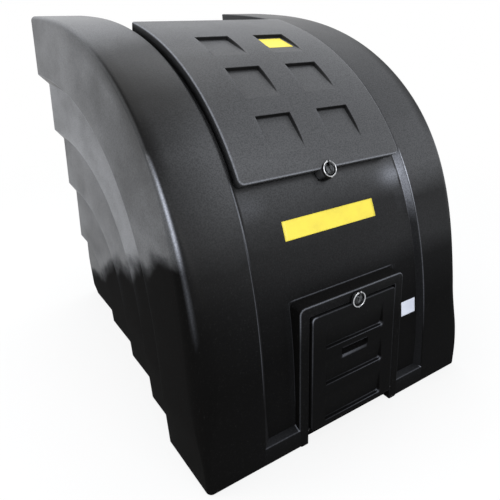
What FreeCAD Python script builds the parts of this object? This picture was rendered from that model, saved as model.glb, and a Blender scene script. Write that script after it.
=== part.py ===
"""Coal bunker: a one-piece moulded plastic box with a hinged lid and a drop-down door.

The moulding has a quarter-round side profile with the curved side at the front.
Two proud side arches frame a recessed centre panel, and each side face steps
inwards in concentric bands. The lid closes the mouth at the top and turns on two
steel butt hinges. The door closes the shovel opening at the bottom and turns on
two pivot pins. A ring-handled cam lock holds each of them.

Axes: +X to the right, +Y to the back, +Z up, millimetres. The drawing plane has
its zero at the foot of the front face, and everything is moved back by ORIGIN_Y
at the end so that the part stands on the middle of its own bounding box.
"""
import FreeCAD
import Part
import math
import os

V = FreeCAD.Vector

# ---- driving dimensions of the moulding -------------------------------------
DEPTH = 1000.0            # front foot to back wall
HEIGHT = 918.0            # top of the side arches
FOOT_WIDTH = 750.0        # over the sides, at the ground
FLARE = 14.0              # each side leans out by this much ...
FLARE_HEIGHT = 125.0      # ... over this height
WALL = 6.0                # wall of the moulding
ARCH_SOFT = 13.0          # rounding of the arches' outer edges
SOFT_STEPS = 3            # straight facets in that rounding
ARCH_EXPONENT = 2.85      # fullness of the side profile (2 is an ellipse)

BAND_EXPONENT = 2.64      # fullness of the stepped bands on the sides
BAND_FRONTS = (188.0, 356.0, 555.0, 765.0)   # where each step meets the ground
BAND_TOPS = (750.0, 578.0, 400.0, 215.0)     # and the back wall
BAND_STEPS = (28.0, 24.0, 19.0, 17.0)        # how far each step goes inwards
RISER_RUN = 30.0          # slope of the step between two bands

PANEL_RECESS = 16.0       # centre panel below the arches
PANEL_HALF = 231.0        # foot of the arch's inner wall
ARCH_INNER = 243.0        # top of the arch's inner wall
PLINTH_FRONT = 46.0       # ledge between arch and door surround
PLINTH_BACK = 55.0
DECK_Z = 869.0            # flat deck behind the lid, which carries the hinges
DECK_START = 622.0

MOUTH_HALF = 195.0        # filling mouth under the lid
MOUTH_FRONT = 172.0
MOUTH_BACK = 590.0
RIM = 8.0                 # raised rim round the mouth
RIM_HEIGHT = 12.0

SURROUND_HALF = 153.0     # upright frame round the door
SURROUND_TOP = 347.0
SURROUND_CORNER = 14.0
RECESS_HALF = 127.5       # the door sits in this recess of the frame
RECESS_TOP = 323.0
RECESS_DEPTH = 21.0
SHOVEL_HALF = 112.0       # opening behind the door
SHOVEL_BOTTOM = 45.0
SHOVEL_TOP = 305.0

# ---- lid ---------------------------------------------------------------------
LID_HALF = 228.0
LID_RISE = 12.0           # lid above the arches
LID_WALL = 5.0
LID_FRONT_Z = 606.0
LID_CORNER = 14.0
LID_BACK_Y = 632.0
LID_GAP = 2.0             # lid skirt above the panel
PAD_INNER = 39.0          # sunk pads of the lid: two columns ...
PAD_OUTER = 129.5
PAD_ROWS = ((473.0, 372.0), (325.0, 237.0), (198.0, 134.0))   # ... and three rows
PAD_DEPTH = 10.0

# ---- door ----------------------------------------------------------------------
DOOR_HALF = 123.5
DOOR_TOP = 319.0
DOOR_FRONT_Y = -5.0
DOOR_BACK_Y = 15.0
PIVOT_Y = 3.0
PIVOT_Z = 36.0
HEM_RADIUS = 8.0
PIN_RADIUS = 3.0
FIT = 0.08                # radial clearance of a running fit
POCKET_HALF = 84.0        # three wedge pockets of the door
POCKET_FLOORS = (46.0, 139.5, 233.0)
POCKET_HEIGHT = 62.0
POCKET_DEPTH = 8.0
PULL_HALF = 35.0          # finger pull
PULL_BOTTOM = 193.0
PULL_TOP = 215.0
PULL_DEPTH = 13.0

# ---- hinges --------------------------------------------------------------------
HINGE_X = 130.0
HINGE_WIDTH = 64.0
KNUCKLE_RADIUS = 5.0
LEAF = 2.0
LEAF_LENGTH = 38.0
HINGE_PIN_RADIUS = 2.5
RIVET_RADIUS = 2.4
RIVET_STEP = 20.0
RIVET_HEAD = 4.5          # radius of a rivet's low head ...
RIVET_HEAD_HEIGHT = 1.0   # ... and its height
DECK_RIVET_REACH = 24.0   # rivets of the deck leaf behind the hinge axis
LID_RIVET_REACH = 14.0    # rivets of the lid leaf above the hinge axis
HINGE_Y = LID_BACK_Y + KNUCKLE_RADIUS
HINGE_Z = DECK_Z + KNUCKLE_RADIUS

# ---- locks ---------------------------------------------------------------------
LOCK_FLANGE_RADIUS = 13.0
LOCK_FLANGE = 3.0
LOCK_BARREL_RADIUS = 8.0
LOCK_ROTOR_RADIUS = 5.5
LOCK_DISC_RADIUS = 11.5
LOCK_NUT_HALF = 11.0      # half the width over the flats
DRIVE_HALF = 3.5          # half the square that carries the cam
RING_RADIUS = 17.0
RING_WIRE = 1.9
RING_PLANE = 8.4
CAM_REACH = 34.0
CAM_WIDTH = 14.0
CAM_THICKNESS = 2.5
LID_LOCK_Z = 601.5
LID_TAB_RADIUS = 20.0
LID_TAB_RISE = 0.3
LID_BARREL = 40.0
LID_RING_LEAN = 9.0       # the lid's ring leans back on the tab, degrees
DOOR_LOCK_Z = 329.0
DOOR_TAB_RADIUS = 13.0
DOOR_BARREL = 34.0
SLOT_HALF = 14.5          # the barrels pass the moulding through these slots
SLOT_FOOT = 573.0

LOCK_REACH = -DOOR_FRONT_Y + RING_PLANE + 2.4
ORIGIN_Y = (DEPTH - LOCK_REACH) / 2.0
TOP_HALF = FOOT_WIDTH / 2.0 + FLARE
MARGIN = 25.0             # how far a cutting tool reaches past a face


# ---- helpers -------------------------------------------------------------------
def box(x0, x1, y0, y1, z0, z1):
    """A block between two corners."""
    return Part.makeBox(x1 - x0, y1 - y0, z1 - z0, V(x0, y0, z0))


def cylinder(radius, start, direction, length):
    """A round bar from a start point along a direction."""
    return Part.makeCylinder(radius, length, start, direction)


def mirrored(shape):
    """The same shape on the other side of the middle plane."""
    return shape.mirror(V(0, 0, 0), V(1, 0, 0))


def both_sides(shapes):
    """Each shape and its mirror image."""
    return list(shapes) + [mirrored(s) for s in shapes]


def prism(points, sweep):
    """A straight prism over a closed polygon."""
    face = Part.Face(Part.makePolygon(list(points) + [points[0]]))
    return face.extrude(sweep)


def profile_point(y, offset=0.0):
    """Height of the side profile, moved outwards by an offset, at a depth y."""
    a = (DEPTH - y) / (DEPTH + offset)
    z = (HEIGHT + offset) * (1.0 - a ** ARCH_EXPONENT) ** (1.0 / ARCH_EXPONENT)
    return V(0, y, z)


def profile_y(z, offset=0.0):
    """Depth of the side profile, moved outwards by an offset, at a height z."""
    b = z / (HEIGHT + offset)
    return DEPTH - (DEPTH + offset) * (1.0 - b ** ARCH_EXPONENT) ** (1.0 / ARCH_EXPONENT)


def profile_normal(point, offset=0.0):
    """Unit vector square to the profile and pointing out of the part."""
    a = (DEPTH - point.y) / (DEPTH + offset)
    b = point.z / (HEIGHT + offset)
    power = ARCH_EXPONENT - 1.0
    normal = V(0, -(a ** power) / (DEPTH + offset), (b ** power) / (HEIGHT + offset))
    return normal.normalize()


def quarter_curve(x, depth, height, exponent, count=12):
    """Quarter of a superellipse in the plane x, from the ground up to the back wall.

    Its centre is the foot of the back wall, and depth and height are its half axes.
    """
    points = []
    for i in range(count + 1):
        angle = math.radians(90.0 * i / count)
        y = DEPTH - depth * max(math.cos(angle), 0.0) ** (2.0 / exponent)
        z = height * math.sin(angle) ** (2.0 / exponent)
        points.append(V(x, y, z))
    points[-1] = V(x, DEPTH, height)
    curve = Part.BSplineCurve()
    curve.interpolate(Points=points, InitialTangent=V(0, 0, 1), FinalTangent=V(0, 1, 0))
    return curve.toShape()


def quarter_wire(x, depth, height, exponent, margin=0.0):
    """Closed outline of the area under a quarter curve."""
    front = DEPTH - depth
    curve = quarter_curve(x, depth, height, exponent)
    corners = [V(x, DEPTH, height), V(x, DEPTH + margin, height), V(x, DEPTH + margin, -margin)]
    corners += [V(x, front, -margin), V(x, front, 0)]
    if margin == 0.0:
        corners = [V(x, DEPTH, height), V(x, DEPTH, 0), V(x, front, 0)]
    edges = [curve]
    edges += [Part.makeLine(p, q) for p, q in zip(corners[:-1], corners[1:])]
    return Part.Wire(edges)


def profile_slab(offset, x0, x1):
    """The side profile, moved outwards by an offset, as a slab from x0 to x1."""
    wire = quarter_wire(x0, DEPTH + offset, HEIGHT + offset, ARCH_EXPONENT)
    return Part.Face(wire).extrude(V(x1 - x0, 0, 0))


def soft_arch(inner, outer, radius):
    """One side arch from its inner to its outer plane, with its outer edge rounded."""
    sections = [quarter_wire(inner, DEPTH, HEIGHT, ARCH_EXPONENT)]
    for step in range(SOFT_STEPS + 1):
        angle = math.radians(90.0 * step / SOFT_STEPS)
        x = outer - radius * (1.0 - math.sin(angle))
        drop = radius * (1.0 - math.cos(angle))
        sections.append(quarter_wire(x, DEPTH - drop, HEIGHT - drop, ARCH_EXPONENT))
    return Part.makeLoft(sections, True, True)


def rounded_foot(solid, half, foot, radius):
    """Round the two lower corners of a lid block, seen from the front."""
    edges = [e for e in solid.Edges if e.BoundBox.ZMax - foot < 1e-3
             and abs(abs(e.BoundBox.Center.x) - half) < 1e-3]
    return solid.makeFillet(radius, edges)


# ---- moulded body --------------------------------------------------------------
def band_half(index):
    """Half width over the band with this number, above the flare."""
    return TOP_HALF - sum(BAND_STEPS[:index])


def band_pocket(index, inset):
    """Tool that sinks the area inside one band step, on the right side."""
    depth = DEPTH - BAND_FRONTS[index - 1] + inset
    height = BAND_TOPS[index - 1] + inset
    sections = []
    for x, run in ((TOP_HALF + MARGIN, 0.0), (band_half(index - 1) - inset, 0.0),
                   (band_half(index) - inset, RISER_RUN)):
        sections.append(quarter_wire(x, depth - run, height - run, BAND_EXPONENT, MARGIN))
    pocket = Part.makeLoft(sections, True, True)
    start = BAND_FRONTS[index - 1] + 0.9 * RISER_RUN - inset
    return [pocket, flare_wedge(band_half(index) - inset, start)]


def flare_wedge(half, start):
    """Tool that leans the foot of one band inwards."""
    slope = FLARE / FLARE_HEIGHT
    points = [V(half, start, FLARE_HEIGHT), V(half - FLARE - slope * MARGIN, start, -MARGIN)]
    points += [V(half + MARGIN, start, -MARGIN), V(half + MARGIN, start, FLARE_HEIGHT)]
    return prism(points, V(0, DEPTH + MARGIN - start, 0))


def stepped(solid, inset):
    """Cut the stepped bands and the flare into both sides of a solid."""
    tools = [flare_wedge(TOP_HALF - inset, -MARGIN)]
    for index in range(1, len(BAND_STEPS) + 1):
        tools += band_pocket(index, inset)
    return solid.cut(both_sides(tools))


def outer_form():
    """Outside of the moulding before the openings are cut."""
    core = profile_slab(-PANEL_RECESS, -TOP_HALF, TOP_HALF)
    foot = quarter_wire(PANEL_HALF, DEPTH - PANEL_RECESS, HEIGHT - PANEL_RECESS, ARCH_EXPONENT)
    crest = quarter_wire(ARCH_INNER, DEPTH, HEIGHT, ARCH_EXPONENT)
    slope = Part.makeLoft([foot, crest], True, True)
    arch = soft_arch(ARCH_INNER, TOP_HALF, ARCH_SOFT)
    form = core.fuse(both_sides([slope, arch]))
    form = form.cut(box(-ARCH_INNER, ARCH_INNER, DECK_START, DEPTH + MARGIN, DECK_Z, HEIGHT + MARGIN))
    return stepped(form.removeSplitter(), 0.0)


def cavity():
    """Hollow inside of the moulding."""
    half = TOP_HALF - WALL
    hollow = profile_slab(-PANEL_RECESS - WALL, -half, half)
    hollow = hollow.fuse(both_sides([profile_slab(-WALL, ARCH_INNER + WALL, half)]))
    hollow = hollow.common(box(-half, half, 0, DEPTH - WALL, WALL, HEIGHT))
    hollow = stepped(hollow, WALL)
    under_deck = box(-ARCH_INNER - WALL, ARCH_INNER + WALL, DECK_START - WALL, DEPTH, DECK_Z - WALL, HEIGHT)
    door_wall = box(-SURROUND_HALF, SURROUND_HALF, 0, RECESS_DEPTH + WALL, 0, SURROUND_TOP)
    behind = box(-SURROUND_HALF + WALL, SURROUND_HALF - WALL, RECESS_DEPTH + WALL, 60.0,
                 SHOVEL_BOTTOM - 15.0, SURROUND_TOP - WALL)
    return hollow.cut([under_deck, door_wall]).fuse(behind)


def door_surround():
    """Flat upright frame that stands out of the curved panel."""
    block = box(-SURROUND_HALF, SURROUND_HALF, 0, 45.0, 0, SURROUND_TOP)
    corners = []
    for edge in block.Edges:
        p, q = [v.Point for v in edge.Vertexes]
        if abs(p.z - SURROUND_TOP) < 1e-6 and abs(q.z - SURROUND_TOP) < 1e-6 and abs(p.x - q.x) < 1e-6:
            corners.append(edge)
    return block.makeFillet(SURROUND_CORNER, corners)


def plinth():
    """Sloped ledges at the foot of the panel, left and right of the surround."""
    half = ARCH_INNER - 0.5
    points = [V(-half, 0, 0), V(-half, 0, PLINTH_FRONT), V(-half, 21.0, PLINTH_BACK)]
    points += [V(-half, 45.0, PLINTH_BACK), V(-half, 45.0, 0)]
    return prism(points, V(2 * half, 0, 0))


def mouth_rim():
    """Raised rim round the mouth, which keeps rain out under the lid."""
    slab = profile_slab(RIM_HEIGHT - PANEL_RECESS, -MOUTH_HALF - RIM, MOUTH_HALF + RIM)
    limit = box(-MOUTH_HALF - RIM, MOUTH_HALF + RIM, MOUTH_FRONT - RIM, MOUTH_BACK + RIM, 400.0, HEIGHT)
    return slab.common(limit)


def body_openings():
    """Tools for the mouth, the door recess, the shovel opening and the lock slots."""
    tools = [box(-MOUTH_HALF, MOUTH_HALF, MOUTH_FRONT, MOUTH_BACK, 500.0, HEIGHT + MARGIN)]
    tools.append(box(-SLOT_HALF, SLOT_HALF, 80.0, MOUTH_FRONT + 1.0, SLOT_FOOT, HEIGHT))
    tools.append(box(-RECESS_HALF, RECESS_HALF, -MARGIN, RECESS_DEPTH, -MARGIN, RECESS_TOP))
    tools.append(box(-SHOVEL_HALF, SHOVEL_HALF, 0, 90.0, SHOVEL_BOTTOM, SHOVEL_TOP))
    tools.append(cylinder(SLOT_HALF, V(0, -MARGIN, DOOR_LOCK_Z), V(0, 1, 0), 60.0))
    tools.append(box(-SLOT_HALF, SLOT_HALF, 0, 35.0, SHOVEL_TOP - 5.0, DOOR_LOCK_Z))
    for side in (-1, 1):
        start = V(side * (RECESS_HALF - 5.0), PIVOT_Y, PIVOT_Z)
        tools.append(cylinder(PIN_RADIUS + FIT, start, V(side, 0, 0), 20.0))
    for x in rivet_columns():
        start = V(x, HINGE_Y + DECK_RIVET_REACH, DECK_Z + 5.0)
        tools.append(cylinder(RIVET_RADIUS, start, V(0, 0, -1), 20.0))
    return tools


def make_body():
    """The one-piece moulding."""
    form = outer_form()
    form = form.fuse([door_surround(), plinth(), mouth_rim()]).removeSplitter()
    return form.cut(cavity()).cut(body_openings()).removeSplitter()


# ---- lid -------------------------------------------------------------------------
def pad_wedge(y_top, y_bottom, x0, x1, grow):
    """One sunk pad: its floor is deepest at the upper edge and meets the skin at the lower."""
    top = profile_point(y_top, LID_RISE)
    bottom = profile_point(y_bottom, LID_RISE)
    normal = profile_normal(top, LID_RISE)
    along = (top - bottom).normalize()
    deep = top - normal * (PAD_DEPTH + grow) + along * grow
    low = bottom - normal * (grow * 0.9) - along * grow
    points = [deep, deep + normal * 40.0, low + normal * 40.0, low]
    points = [V(x0 - grow, p.y, p.z) for p in points]
    return prism(points, V(x1 - x0 + 2 * grow, 0, 0))


def make_lid():
    """Curved lid with a skirt all round, six sunk pads and a round lock tab."""
    outer = profile_slab(LID_RISE, -LID_HALF, LID_HALF)
    under = profile_slab(LID_GAP - PANEL_RECESS, -LID_HALF - 1, LID_HALF + 1)
    blank = outer.common(box(-LID_HALF, LID_HALF, 0, LID_BACK_Y, LID_FRONT_Z, HEIGHT + MARGIN))
    blank = rounded_foot(blank, LID_HALF, LID_FRONT_Z, LID_CORNER)
    inner = profile_slab(LID_RISE - LID_WALL, -LID_HALF + LID_WALL, LID_HALF - LID_WALL)
    foot = LID_FRONT_Z + LID_WALL
    inner = inner.common(box(-LID_HALF, LID_HALF, 0, LID_BACK_Y - LID_WALL, foot, HEIGHT))
    inner = rounded_foot(inner, LID_HALF - LID_WALL, foot, LID_CORNER - LID_WALL)
    spans = ((PAD_INNER, PAD_OUTER), (-PAD_OUTER, -PAD_INNER))
    pads = [pad_wedge(t, b, x0, x1, 0.0) for t, b in PAD_ROWS for x0, x1 in spans]
    backs = [pad_wedge(t, b, x0, x1, LID_WALL) for t, b in PAD_ROWS for x0, x1 in spans]
    shell = blank.cut(inner.cut(backs)).cut(under).cut(pads)
    origin, normal = lid_lock_place()
    foot = LID_WALL + LID_TAB_RISE
    tab = cylinder(LID_TAB_RADIUS, origin, normal * -1, LID_RISE + PANEL_RECESS - LID_GAP)
    cup = cylinder(LID_TAB_RADIUS - LID_WALL, origin - normal * foot, normal * -1, 60.0)
    bore = cylinder(LOCK_BARREL_RADIUS + 0.1, origin + normal * 5.0, normal * -1, 20.0)
    shell = shell.fuse(tab).cut([cup, bore])
    for x in rivet_columns():
        start = V(x, LID_BACK_Y + 5.0, HINGE_Z + LID_RIVET_REACH)
        shell = shell.cut(cylinder(RIVET_RADIUS, start, V(0, -1, 0), 20.0))
    return shell.removeSplitter()


def lid_lock_place():
    """Origin and outward direction of the lock in the lid, on the face of its tab."""
    origin = V(0, profile_y(LID_LOCK_Z, LID_RISE), LID_LOCK_Z)
    normal = profile_normal(origin, LID_RISE)
    return origin + normal * LID_TAB_RISE, normal


# ---- door ------------------------------------------------------------------------
def door_pocket(floor):
    """One wedge pocket: a ledge at its foot, flush with the door at its top."""
    points = [V(-POCKET_HALF, DOOR_FRONT_Y - 1.0, floor), V(-POCKET_HALF, DOOR_FRONT_Y + POCKET_DEPTH, floor)]
    points.append(V(-POCKET_HALF, DOOR_FRONT_Y, floor + POCKET_HEIGHT))
    points.append(V(-POCKET_HALF, DOOR_FRONT_Y - 1.0, floor + POCKET_HEIGHT))
    return prism(points, V(2 * POCKET_HALF, 0, 0))


def finger_pull():
    """Slot for the fingers, with a rounded lower lip."""
    slot = box(-PULL_HALF, PULL_HALF, DOOR_FRONT_Y - 1.0, DOOR_FRONT_Y + PULL_DEPTH, PULL_BOTTOM, PULL_TOP)
    ends = [e for e in slot.Edges if e.Vertexes[0].Point.x == e.Vertexes[1].Point.x
            and abs(e.Vertexes[0].Point.z - e.Vertexes[1].Point.z) < 1e-6
            and abs(e.Vertexes[0].Point.z - PULL_BOTTOM) < 1e-6]
    return slot.makeFillet(9.0, ends)


def make_door():
    """Drop-down door: a thick moulded panel that turns on the round hem at its foot."""
    slab = box(-DOOR_HALF, DOOR_HALF, DOOR_FRONT_Y, DOOR_BACK_Y, PIVOT_Z, DOOR_TOP)
    hem = cylinder(HEM_RADIUS, V(-DOOR_HALF, PIVOT_Y, PIVOT_Z), V(1, 0, 0), 2 * DOOR_HALF)
    tab = cylinder(DOOR_TAB_RADIUS, V(0, DOOR_FRONT_Y, DOOR_LOCK_Z), V(0, 1, 0), DOOR_BACK_Y - DOOR_FRONT_Y)
    door = slab.fuse([hem, tab]).removeSplitter()
    bore = cylinder(LOCK_BARREL_RADIUS + 0.1, V(0, DOOR_FRONT_Y - 5.0, DOOR_LOCK_Z), V(0, 1, 0), 40.0)
    tools = [bore, finger_pull()] + [door_pocket(floor) for floor in POCKET_FLOORS]
    for side in (-1, 1):
        start = V(side * (DOOR_HALF - 16.0), PIVOT_Y, PIVOT_Z)
        tools.append(cylinder(PIN_RADIUS, start, V(side, 0, 0), 30.0))
    return door.cut(tools)


def make_door_pins():
    """Two steel pins, pressed into the hem and turning in the cheeks of the surround."""
    pins = []
    for side in (-1, 1):
        start = V(side * (DOOR_HALF - 16.0), PIVOT_Y, PIVOT_Z)
        pins.append(cylinder(PIN_RADIUS, start, V(side, 0, 0), 32.0))
    return Part.makeCompound(pins)


# ---- hinges ----------------------------------------------------------------------
def rivet_columns():
    """Where the rivets of both hinges stand, along X."""
    return [side * HINGE_X + step for side in (-1, 1) for step in (-RIVET_STEP, RIVET_STEP)]


def knuckles(centre, offsets, length):
    """Rolled knuckles of one leaf along the hinge axis."""
    rolls = []
    for offset in offsets:
        start = V(centre + offset - length / 2.0, HINGE_Y, HINGE_Z)
        rolls.append(cylinder(KNUCKLE_RADIUS, start, V(1, 0, 0), length))
    return rolls


def make_hinge(centre):
    """One butt hinge: leaf on the deck, leaf on the lid and the pin."""
    pitch = HINGE_WIDTH / 3.0
    length = pitch - 0.5
    left = centre - HINGE_WIDTH / 2.0
    right = centre + HINGE_WIDTH / 2.0
    start = V(left - 5.0, HINGE_Y, HINGE_Z)
    pin_hole = cylinder(HINGE_PIN_RADIUS + FIT, start, V(1, 0, 0), HINGE_WIDTH + 10.0)
    reach = KNUCKLE_RADIUS + 0.6
    low = V(0, HINGE_Y - reach - 3.0, DECK_Z - 1.0)
    high = V(0, HINGE_Y + reach, HINGE_Z + reach)
    gaps = [box(centre + o - pitch / 2.0, centre + o + pitch / 2.0, low.y, high.y, low.z, high.z)
            for o in (-pitch, 0.0, pitch)]
    plate = box(left, right, HINGE_Y, HINGE_Y + LEAF_LENGTH, DECK_Z, DECK_Z + LEAF)
    plate = plate.cut(gaps[1]).fuse(knuckles(centre, (-pitch, pitch), length)).cut(pin_hole)
    blade = box(left, right, LID_BACK_Y, LID_BACK_Y + LEAF, HINGE_Z, HINGE_Z + 28.0)
    blade = blade.cut([gaps[0], gaps[2]]).fuse(knuckles(centre, (0.0,), length)).cut(pin_hole)
    for x in (centre - RIVET_STEP, centre + RIVET_STEP):
        start = V(x, HINGE_Y + DECK_RIVET_REACH, DECK_Z - 5.0)
        plate = plate.cut(cylinder(RIVET_RADIUS, start, V(0, 0, 1), 20.0))
        start = V(x, LID_BACK_Y - 5.0, HINGE_Z + LID_RIVET_REACH)
        blade = blade.cut(cylinder(RIVET_RADIUS, start, V(0, 1, 0), 20.0))
    pin = cylinder(HINGE_PIN_RADIUS, V(left - 1.5, HINGE_Y, HINGE_Z), V(1, 0, 0), HINGE_WIDTH + 3.0)
    return plate.removeSplitter(), blade.removeSplitter(), pin


def rivet(seat, direction, grip):
    """A blind rivet: low head on the leaf, shank through it, and a bulb behind the wall."""
    head = Part.makeCone(RIVET_HEAD, 2.8, RIVET_HEAD_HEIGHT, seat, direction)
    shank = cylinder(RIVET_RADIUS, seat + direction * 0.5, direction * -1, grip + 2.5)
    bulb = cylinder(3.6, seat - direction * grip, direction * -1, 4.0)
    return head.fuse([shank, bulb]).removeSplitter()


# ---- locks -----------------------------------------------------------------------
def forged_ring(centre):
    """Round ring of an eight-sided wire, in the plane z."""
    reach = RING_WIRE / math.cos(math.radians(22.5))
    section = []
    for corner in range(8):
        angle = math.radians(22.5 + 45.0 * corner)
        section.append(centre + V(RING_RADIUS + reach * math.cos(angle), 0, reach * math.sin(angle)))
    face = Part.Face(Part.makePolygon(section + [section[0]]))
    return face.revolve(centre, V(0, 0, 1), 360.0)


def lock_pieces(barrel, grip, cam_side, lean):
    """Pieces of one ring-handled cam lock in its own frame: +Z out of the face, +Y up it."""
    z = V(0, 0, 1)
    x = V(1, 0, 0)
    flange = cylinder(LOCK_FLANGE_RADIUS, V(0, 0, 0), z, LOCK_FLANGE)
    flange = flange.makeChamfer(0.9, [e for e in flange.Edges if e.Vertexes[0].Point.z > 1.0 and e.Closed])
    housing = flange.fuse(cylinder(LOCK_BARREL_RADIUS, V(0, 0, -barrel), z, barrel))
    housing = housing.cut(cylinder(LOCK_ROTOR_RADIUS + FIT, V(0, 0, -barrel - 1.0), z, barrel + 10.0))

    corner = 2.0 * LOCK_NUT_HALF / math.sqrt(3.0)
    angles = [math.radians(60.0 * i) for i in range(6)]
    hexagon = [V(corner * math.cos(a), corner * math.sin(a), -grip - 5.0) for a in angles]
    nut = prism(hexagon, V(0, 0, 5.0)).cut(cylinder(LOCK_BARREL_RADIUS + 0.05, V(0, 0, -grip - 6.0), z, 8.0))

    front = LOCK_FLANGE + 0.1
    disc = cylinder(LOCK_DISC_RADIUS, V(0, 0, front), z, 3.0)
    disc = disc.makeChamfer(0.8, [e for e in disc.Edges if e.Closed and e.Vertexes[0].Point.z > front + 1.0])
    ear = box(-2.0, 2.0, 8.0, RING_RADIUS, front, RING_PLANE + 2.4)
    ear = ear.fuse(cylinder(2.4, V(-2.0, RING_RADIUS, RING_PLANE), x, 4.0))
    ear = ear.cut(cylinder(1.05, V(-3.0, RING_RADIUS, RING_PLANE), x, 6.0))
    shaft = cylinder(LOCK_ROTOR_RADIUS, V(0, 0, -barrel - 0.4), z, barrel + front + 1.0)
    square = box(-DRIVE_HALF, DRIVE_HALF, -DRIVE_HALF, DRIVE_HALF, -barrel - 0.4 - CAM_THICKNESS, -barrel)
    rotor = disc.fuse([ear, shaft, square])
    slot = box(-1.1, 1.1, -4.5, 4.5, front - 5.0, front + 5.0)
    screw_hole = cylinder(1.75, V(0, 0, -barrel - 5.0), z, 15.0)
    rotor = rotor.cut([slot, screw_hole]).removeSplitter()

    centre = V(0, 0, RING_PLANE)
    ring = forged_ring(centre)
    ring = ring.cut(box(-2.2, 2.2, RING_RADIUS - 4.0, RING_RADIUS + 4.0, RING_PLANE - 4.0, RING_PLANE + 4.0))
    ends = [cylinder(2.4, V(2.2 * s, RING_RADIUS, RING_PLANE), V(s, 0, 0), 3.2) for s in (-1, 1)]
    ring = ring.fuse(ends).cut(cylinder(1.05, V(-8.0, RING_RADIUS, RING_PLANE), x, 16.0))
    ring = ring.removeSplitter()
    ring.rotate(V(0, RING_RADIUS, RING_PLANE), x, lean)
    ring_pin = cylinder(1.0, V(-5.6, RING_RADIUS, RING_PLANE), x, 11.2)

    back = -barrel - 0.4
    half = CAM_WIDTH / 2.0
    tip = CAM_REACH - half
    plate = box(-half, half, 0, tip, back - CAM_THICKNESS, back)
    ends = [cylinder(half, V(0, y, back), z * -1, CAM_THICKNESS) for y in (0, tip)]
    plate = plate.fuse(ends)
    drive = DRIVE_HALF + 0.05
    cam = plate.removeSplitter().cut(box(-drive, drive, -drive, drive, back - 5.0, back + 5.0))
    if cam_side < 0:
        cam.rotate(V(0, 0, 0), z, 180.0)

    seat = back - CAM_THICKNESS
    screw = cylinder(6.0, V(0, 0, seat), z * -1, 2.0)
    screw = screw.fuse(cylinder(1.7, V(0, 0, seat), z, 9.0)).removeSplitter()
    return {"housing": housing.removeSplitter(), "nut": nut, "rotor": rotor, "ring": ring,
            "ring_pin": ring_pin, "cam": cam, "cam_screw": screw}


def place_lock(pieces, origin, normal):
    """Move lock pieces so that +Z becomes the outward direction and +Y points up the face."""
    up = V(0, 0, 1) - normal * normal.z
    up.normalize()
    side = up.cross(normal)
    matrix = FreeCAD.Matrix(side.x, up.x, normal.x, origin.x,
                            side.y, up.y, normal.y, origin.y,
                            side.z, up.z, normal.z, origin.z)
    placed = {}
    for name, shape in pieces.items():
        copy = shape.copy()
        copy.transformShape(matrix)
        placed[name] = copy
    return placed


# ---- assembly --------------------------------------------------------------------
def all_nodes():
    """Every node of the bunker by name, in the drawing frame."""
    nodes = {"body": make_body(), "lid": make_lid(), "door": make_door(), "door_pivot_pins": make_door_pins()}
    hinges = [make_hinge(side * HINGE_X) for side in (-1, 1)]
    for name, shapes in zip(("hinge_body_leaves", "hinge_lid_leaves", "hinge_pins"), zip(*hinges)):
        nodes[name] = Part.makeCompound(list(shapes))
    deck_seats = [V(x, HINGE_Y + DECK_RIVET_REACH, DECK_Z + LEAF) for x in rivet_columns()]
    lid_seats = [V(x, LID_BACK_Y + LEAF, HINGE_Z + LID_RIVET_REACH) for x in rivet_columns()]
    nodes["hinge_body_rivets"] = Part.makeCompound([rivet(p, V(0, 0, 1), LEAF + WALL) for p in deck_seats])
    nodes["hinge_lid_rivets"] = Part.makeCompound([rivet(p, V(0, 1, 0), LEAF + LID_WALL) for p in lid_seats])
    origin, normal = lid_lock_place()
    grip = LID_WALL + LID_TAB_RISE
    for name, shape in place_lock(lock_pieces(LID_BARREL, grip, 1, LID_RING_LEAN), origin, normal).items():
        nodes["lid_lock_" + name] = shape
    origin = V(0, DOOR_FRONT_Y, DOOR_LOCK_Z)
    grip = DOOR_BACK_Y - DOOR_FRONT_Y
    for name, shape in place_lock(lock_pieces(DOOR_BARREL, grip, -1, 0.0), origin, V(0, -1, 0)).items():
        nodes["door_lock_" + name] = shape
    return nodes


def main():
    """Build every node, move it to the part's origin and write it."""
    os.makedirs("parts", exist_ok=True)
    for name, shape in all_nodes().items():
        shape.translate(V(0, -ORIGIN_Y, 0))
        shape.exportStep("parts/" + name + ".step")
        bounds = shape.BoundBox
        print("%-24s solids %d valid %s volume %.0f  x %.1f..%.1f  y %.1f..%.1f  z %.1f..%.1f" % (
            name, len(shape.Solids), shape.isValid(), shape.Volume, bounds.XMin, bounds.XMax,
            bounds.YMin, bounds.YMax, bounds.ZMin, bounds.ZMax))


main()
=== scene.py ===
"""Looks of a moulded coal bunker: body shell, lid, door, ring locks, labels and finishes.

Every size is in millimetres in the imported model's own frame (+X right, +Y back, +Z up)
and becomes metres only when a mesh is made. New surfaces are grids worked out as whole
arrays; each function says in words how its surface is found.
"""

import logging
import math
from dataclasses import dataclass
from enum import Enum

import bmesh
import bpy
import numpy as np
from mathutils import Matrix, Vector


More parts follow.
